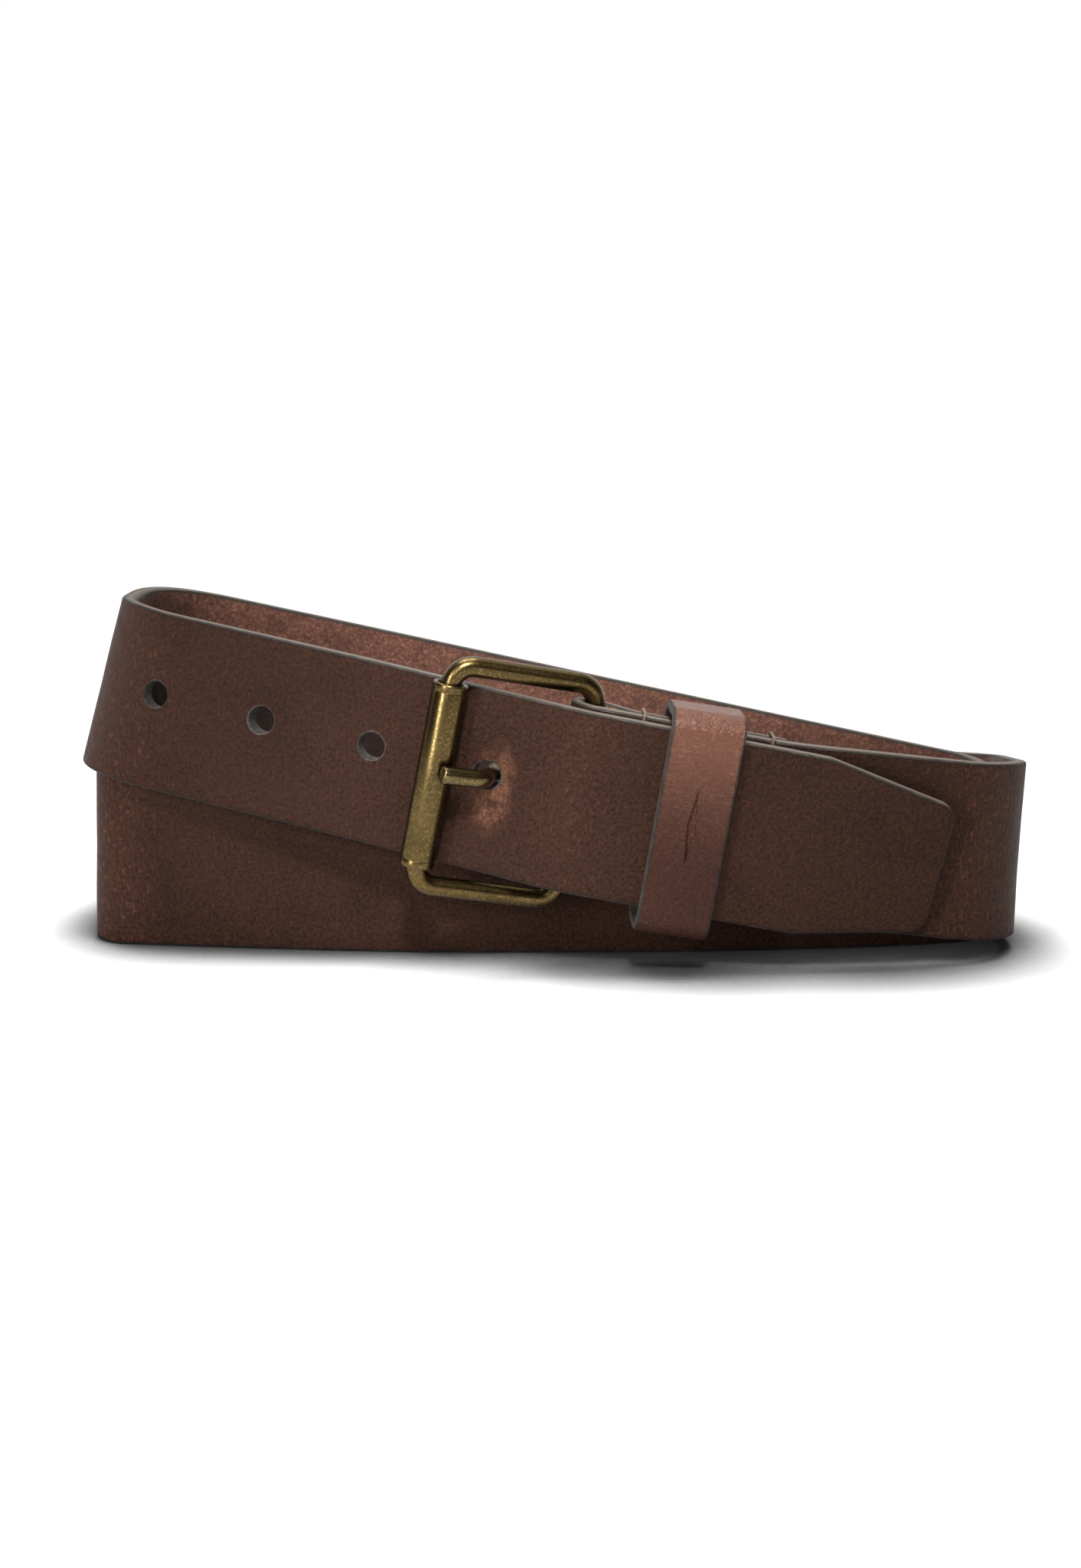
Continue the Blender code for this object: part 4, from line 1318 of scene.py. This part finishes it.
    def build(self) -> list[bpy.types.Object]:
        """Builds and dresses the three pieces."""
        frame_brass = AntiqueBrass("frame_brass_finish").material()
        roller_brass = AntiqueBrass("roller_brass_finish", wear=0.42).material()
        prong_brass = AntiqueBrass("prong_brass_finish", body=(0.17, 0.125, 0.055)).material()
        return [
            dressed(self.frame_mesh(), "buckle", "buckle_frame", [frame_brass]),
            dressed(self.roller_mesh(), "roller_tube", "roller", [roller_brass]),
            dressed(self.prong_mesh(), "tongue", "prong", [prong_brass]),
        ]


# --------------------------------------------------------------------------- the keeper


@dataclass
class Keeper:
    """The leather band round the stacked straps, with a plain lozenge tooled into its front."""

    stack: Stack
    width: float = 0.0152
    thickness: float = 0.0023
    slack: float = 0.0026
    turn: float = radians(2.0)
    bend: float = 0.0032
    edge_round: float = 0.0005
    seam_gap: float = 0.0004
    mark: tuple[float, float, float] = (0.0021, 0.0180, 0.00055)
    across_cells: int = 46
    points: int = 330

    def point(self, along: float, out: float, across: float) -> Vector:
        """A place in the keeper's own frame, which is turned a little on the straps."""
        stack = self.stack
        start = Vector(joint("keeper_slide")["pos_m"])
        start -= stack.out * (start - stack.heel).dot(stack.out)
        turned_along = stack.along * cos(self.turn) + stack.across * sin(self.turn)
        turned_across = stack.across * cos(self.turn) - stack.along * sin(self.turn)
        return start + turned_along * along + stack.out * out + turned_across * across

    def line(self) -> np.ndarray:
        """The band's middle line as evenly spaced (out, across) points."""
        stack, half = self.stack, self.thickness / 2
        front = stack.upper_offset + stack.cut.thickness / 2 + stack.gap + half
        back = stack.flap_back - stack.gap - half
        top = stack.cut.width / 2 + self.slack + half
        corners = [(back, self.seam_gap / 2, 0), (back, top, self.bend), (front, top, self.bend)]
        corners += [(out, -across, curve) for out, across, curve in reversed(corners)]
        return evenly(corners, radians(7.5), self.points)[0]

    def tooled(self, along: float, across: float) -> float:
        """Depth of the tooled lozenge at a place on the front."""
        width, height, depth = self.mark
        inside = 1 - abs(along) / (width / 2) - abs(across - 0.0005) / (height / 2)
        share = min(max(inside * 2.6, 0), 1)
        swell = max(0.0, 1 - abs(inside + 0.25) / 0.25) * 0.16
        return depth * (share * share * (3 - 2 * share) - swell)

    def section(self) -> list[tuple[float, float]]:
        """Outline of the band's section as (depth, along) points."""
        half, curve, wide = self.thickness / 2, self.edge_round, self.width / 2
        up_edge = [(-half + rise, wide - draw) for rise, draw in rounded(curve)]
        right = up_edge + [(-depth, side) for depth, side in reversed(up_edge)]
        flat = np.linspace(-1, 1, self.across_cells + 1)[1:-1]
        inner = [(-half, (wide - curve) * share) for share in flat[::4]]
        outer = [(half, -(wide - curve) * share) for share in flat]
        left = [(depth, -side) for depth, side in reversed(right)]
        return inner + right + outer + left

    def band(self) -> bpy.types.Mesh:
        """The band, lofted from one cut end to the other."""
        line = self.line()
        tangents = unit(np.gradient(line, axis=0))
        tangents[[0, -1]] = ((0, 1), (0, 1))
        half = self.thickness / 2
        front = line[:, 0].max() - 1e-5
        section = self.section()
        loft = Loft()
        run = 0.0
        for index, (spot, tangent) in enumerate(zip(line, tangents)):
            run += float(np.linalg.norm(spot - line[max(index - 1, 0)]))
            ring, values = [], []
            for depth, side in section:
                sunk = 0.0
                if depth > half - 1e-6 and spot[0] > front:
                    sunk = self.tooled(side, spot[1])
                out = spot[0] - tangent[1] * (depth - sunk)
                across = spot[1] + tangent[0] * (depth - sunk)
                place = self.point(side, out, across)
                place += self.stack.out * noise.noise(place * 70) * 0.0001
                ring.append(place)
                outline = self.width / 2 - abs(side)
                # Painted highlight: lightens and warms the grain towards the band's top, as a
                # painted sheen.
                bend_and_sheen = min(max((across + 0.008) / 0.026, 0.0), 1.0) ** 1.5
                values.append((run, side, (depth + half) / self.thickness, outline, bend_and_sheen))
            loft.add(ring, values)
        return loft.mesh("keeper_loop", leather=True)

    def build(self) -> bpy.types.Object:
        """Builds and dresses the band."""
        grain = GrainLeather(
            "keeper_grain_painted_sheen",
            base=(0.027, 0.0086, 0.0050),
            shade=(0.015, 0.0048, 0.0029),
            # Painted highlight: the band's top is mixed towards this light warm colour.
            warm=(0.205, 0.094, 0.061),
            streaks=0.08,
            shine=0.14,
            roughness=(0.27, 0.38),
            pebble=0.25,
            mottle=0.14,
        )
        flesh = FleshLeather("keeper_flesh_painted_shade")
        edge = CutEdge("keeper_edge", fibre=(0.050, 0.040, 0.034), pale=(0.090, 0.075, 0.064))
        finishes = [finish.material() for finish in (grain, flesh, edge)]
        return dressed(self.band(), "keeper", "keeper_loop", finishes)


# --------------------------------------------------------------------------- the studio


@dataclass(frozen=True)
class Studio:
    """A white floor, soft overhead light and the camera."""

    lens: float = 65.6
    distance: float = 0.4340
    elevation: float = radians(11.26)
    azimuth: float = radians(-0.11)
    roll: float = radians(-0.09)
    target: tuple[float, float, float] = (-0.00135, 0.0, 0.03467)
    floor_half: float = 20
    floor_drop: float = 0.0001
    contact_reach: float = 0.024

    def camera(self) -> None:
        """Stands the camera a little above the belt, square to its length."""
        data = bpy.data.cameras.new("camera")
        data.sensor_fit = "HORIZONTAL"
        data.sensor_width = 36
        data.lens = self.lens
        data.clip_start = 0.02
        data.clip_end = 60
        camera = linked("camera", data)
        ahead = Vector((sin(self.azimuth), cos(self.azimuth), 0)) * cos(self.elevation)
        ahead -= UP * sin(self.elevation)
        level = ahead.to_track_quat("-Z", "Y")
        turn = Matrix.Rotation(self.roll, 4, "Z")
        place = Vector(self.target) - ahead * self.distance
        camera.matrix_world = Matrix.Translation(place) @ level.to_matrix().to_4x4() @ turn
        bpy.context.scene.camera = camera

    def floor(self) -> None:
        """A wide pale floor, with a painted contact shadow from the belt's occlusion."""
        work = bmesh.new()
        below = Matrix.Translation((0, 0, -self.floor_drop))
        bmesh.ops.create_grid(work, x_segments=1, y_segments=1, size=self.floor_half, matrix=below)
        floor = linked("floor", finished(work, "floor"))
        paper = Finish("floor_paper_painted_shadow", 0.9)
        reach = {"Distance": self.contact_reach}
        # Painted contact shadow: occlusion by the belt darkens the floor's colour and glow.
        open_air = paper.add("AmbientOcclusion", reach, samples=12).outputs["AO"]
        outside_painted_shadow = paper.step(open_air, 0.51, 0.97, (0.05, 1))
        paper.colour(paper.mix(outside_painted_shadow, (0.0, 0.0, 0.0), (0.80, 0.80, 0.80)))
        paper.shader.inputs["Specular IOR Level"].default_value = 0.0
        paper.feed(paper.shader.inputs["Emission Color"], paper.mix(outside_painted_shadow, (0, 0, 0), (1, 1, 1)))
        paper.shader.inputs["Emission Strength"].default_value = 0.06
        floor.data.materials.append(paper.material)

    @staticmethod
    def aimed(name: str, data: bpy.types.Light, place: Vector, aim: Vector) -> None:
        """Hangs a light at a place and turns it to face a point."""
        light = linked(name, data)
        light.location = place
        light.rotation_mode = "QUATERNION"
        light.rotation_quaternion = (aim - place).to_track_quat("-Z", "Y")

    def lamp(self, name: str, place: Vector, size: tuple[float, float], power: float) -> None:
        """A soft box that faces the middle of the belt."""
        data = bpy.data.lights.new(name, "AREA")
        data.shape = "RECTANGLE"
        data.size, data.size_y = size
        data.energy = power
        self.aimed(name, data, place, Vector((0, 0, 0.035)))

    def spot(self, name: str, place: Vector, aim: Vector, power: float, cone: float) -> None:
        """A soft-edged spot, with its cone in degrees, that fades from the middle outward."""
        data = bpy.data.lights.new(name, "SPOT")
        data.energy = power
        data.spot_size = radians(cone)
        data.spot_blend = 1.0
        data.shadow_soft_size = 0.06
        self.aimed(name, data, place, aim)

    def lights(self) -> None:
        """Even light from above, soft boxes for the metal, and a world that is darker in front."""
        data = bpy.data.lights.new("overhead", "SUN")
        data.energy = 2.7
        data.angle = radians(42)
        linked("overhead", data).rotation_euler = (radians(-8), radians(-3), 0)
        self.lamp("key_box", Vector((0.04, -0.62, 0.80)), (0.30, 0.20), 2.2)
        self.lamp("left_strip", Vector((-0.42, -0.62, 0.16)), (0.05, 0.50), 5.0)
        aim = Vector((0.004, -0.01, 0.034))
        self.spot("centre_spot", Vector((0.02, -0.60, 0.62)), aim, 46.0, 13)
        self.spot("low_spot", Vector((-0.10, -0.50, 0.20)), Vector((-0.050, -0.01, 0.010)), 15.0, 9)
        world = bpy.data.worlds.new("studio_air")
        world.use_nodes = True
        tree = world.node_tree
        background = tree.nodes["Background"]
        where = tree.nodes.new("ShaderNodeTexCoord")
        split = tree.nodes.new("ShaderNodeSeparateXYZ")
        depth = tree.nodes.new("ShaderNodeMapRange")
        depth.interpolation_type = "SMOOTHSTEP"
        values = {"From Min": 0.60, "From Max": -0.10, "To Min": 1.0, "To Max": 0.035}
        for name, value in values.items():
            depth.inputs[name].default_value = value
        tree.links.new(where.outputs["Generated"], split.inputs[0])
        tree.links.new(split.outputs["Y"], depth.inputs["Value"])
        tree.links.new(depth.outputs[0], background.inputs["Strength"])
        background.inputs["Color"].default_value = (1, 1, 1, 1)
        bpy.context.scene.world = world

    def build(self) -> None:
        """Sets up the whole studio, with plain display colours so that white stays white."""
        self.camera()
        self.floor()
        self.lights()
        bpy.context.scene.view_settings.view_transform = "Standard"


def main() -> None:
    """Builds every piece of the belt round the frame."""
    logging.basicConfig(level=logging.INFO, format="%(name)s: %(message)s")
    Studio().build()
    stack = Stack()
    buckle = Buckle(stack)
    Strap(stack, CoilRoute(stack)).build(buckle.prong_rise, list(STITCH_ROWS.values()))
    thread = WaxedThread().material()
    for node, where in STITCH_ROWS.items():
        StitchRow(stack, node, where).build(thread)
    buckle.build()
    Keeper(stack).build()
    staple = frame["nodes"]["keeper_staple"]
    staple.data.materials.clear()
    staple.data.materials.append(StapleWire().material())


if __name__ == "__main__":
    main()
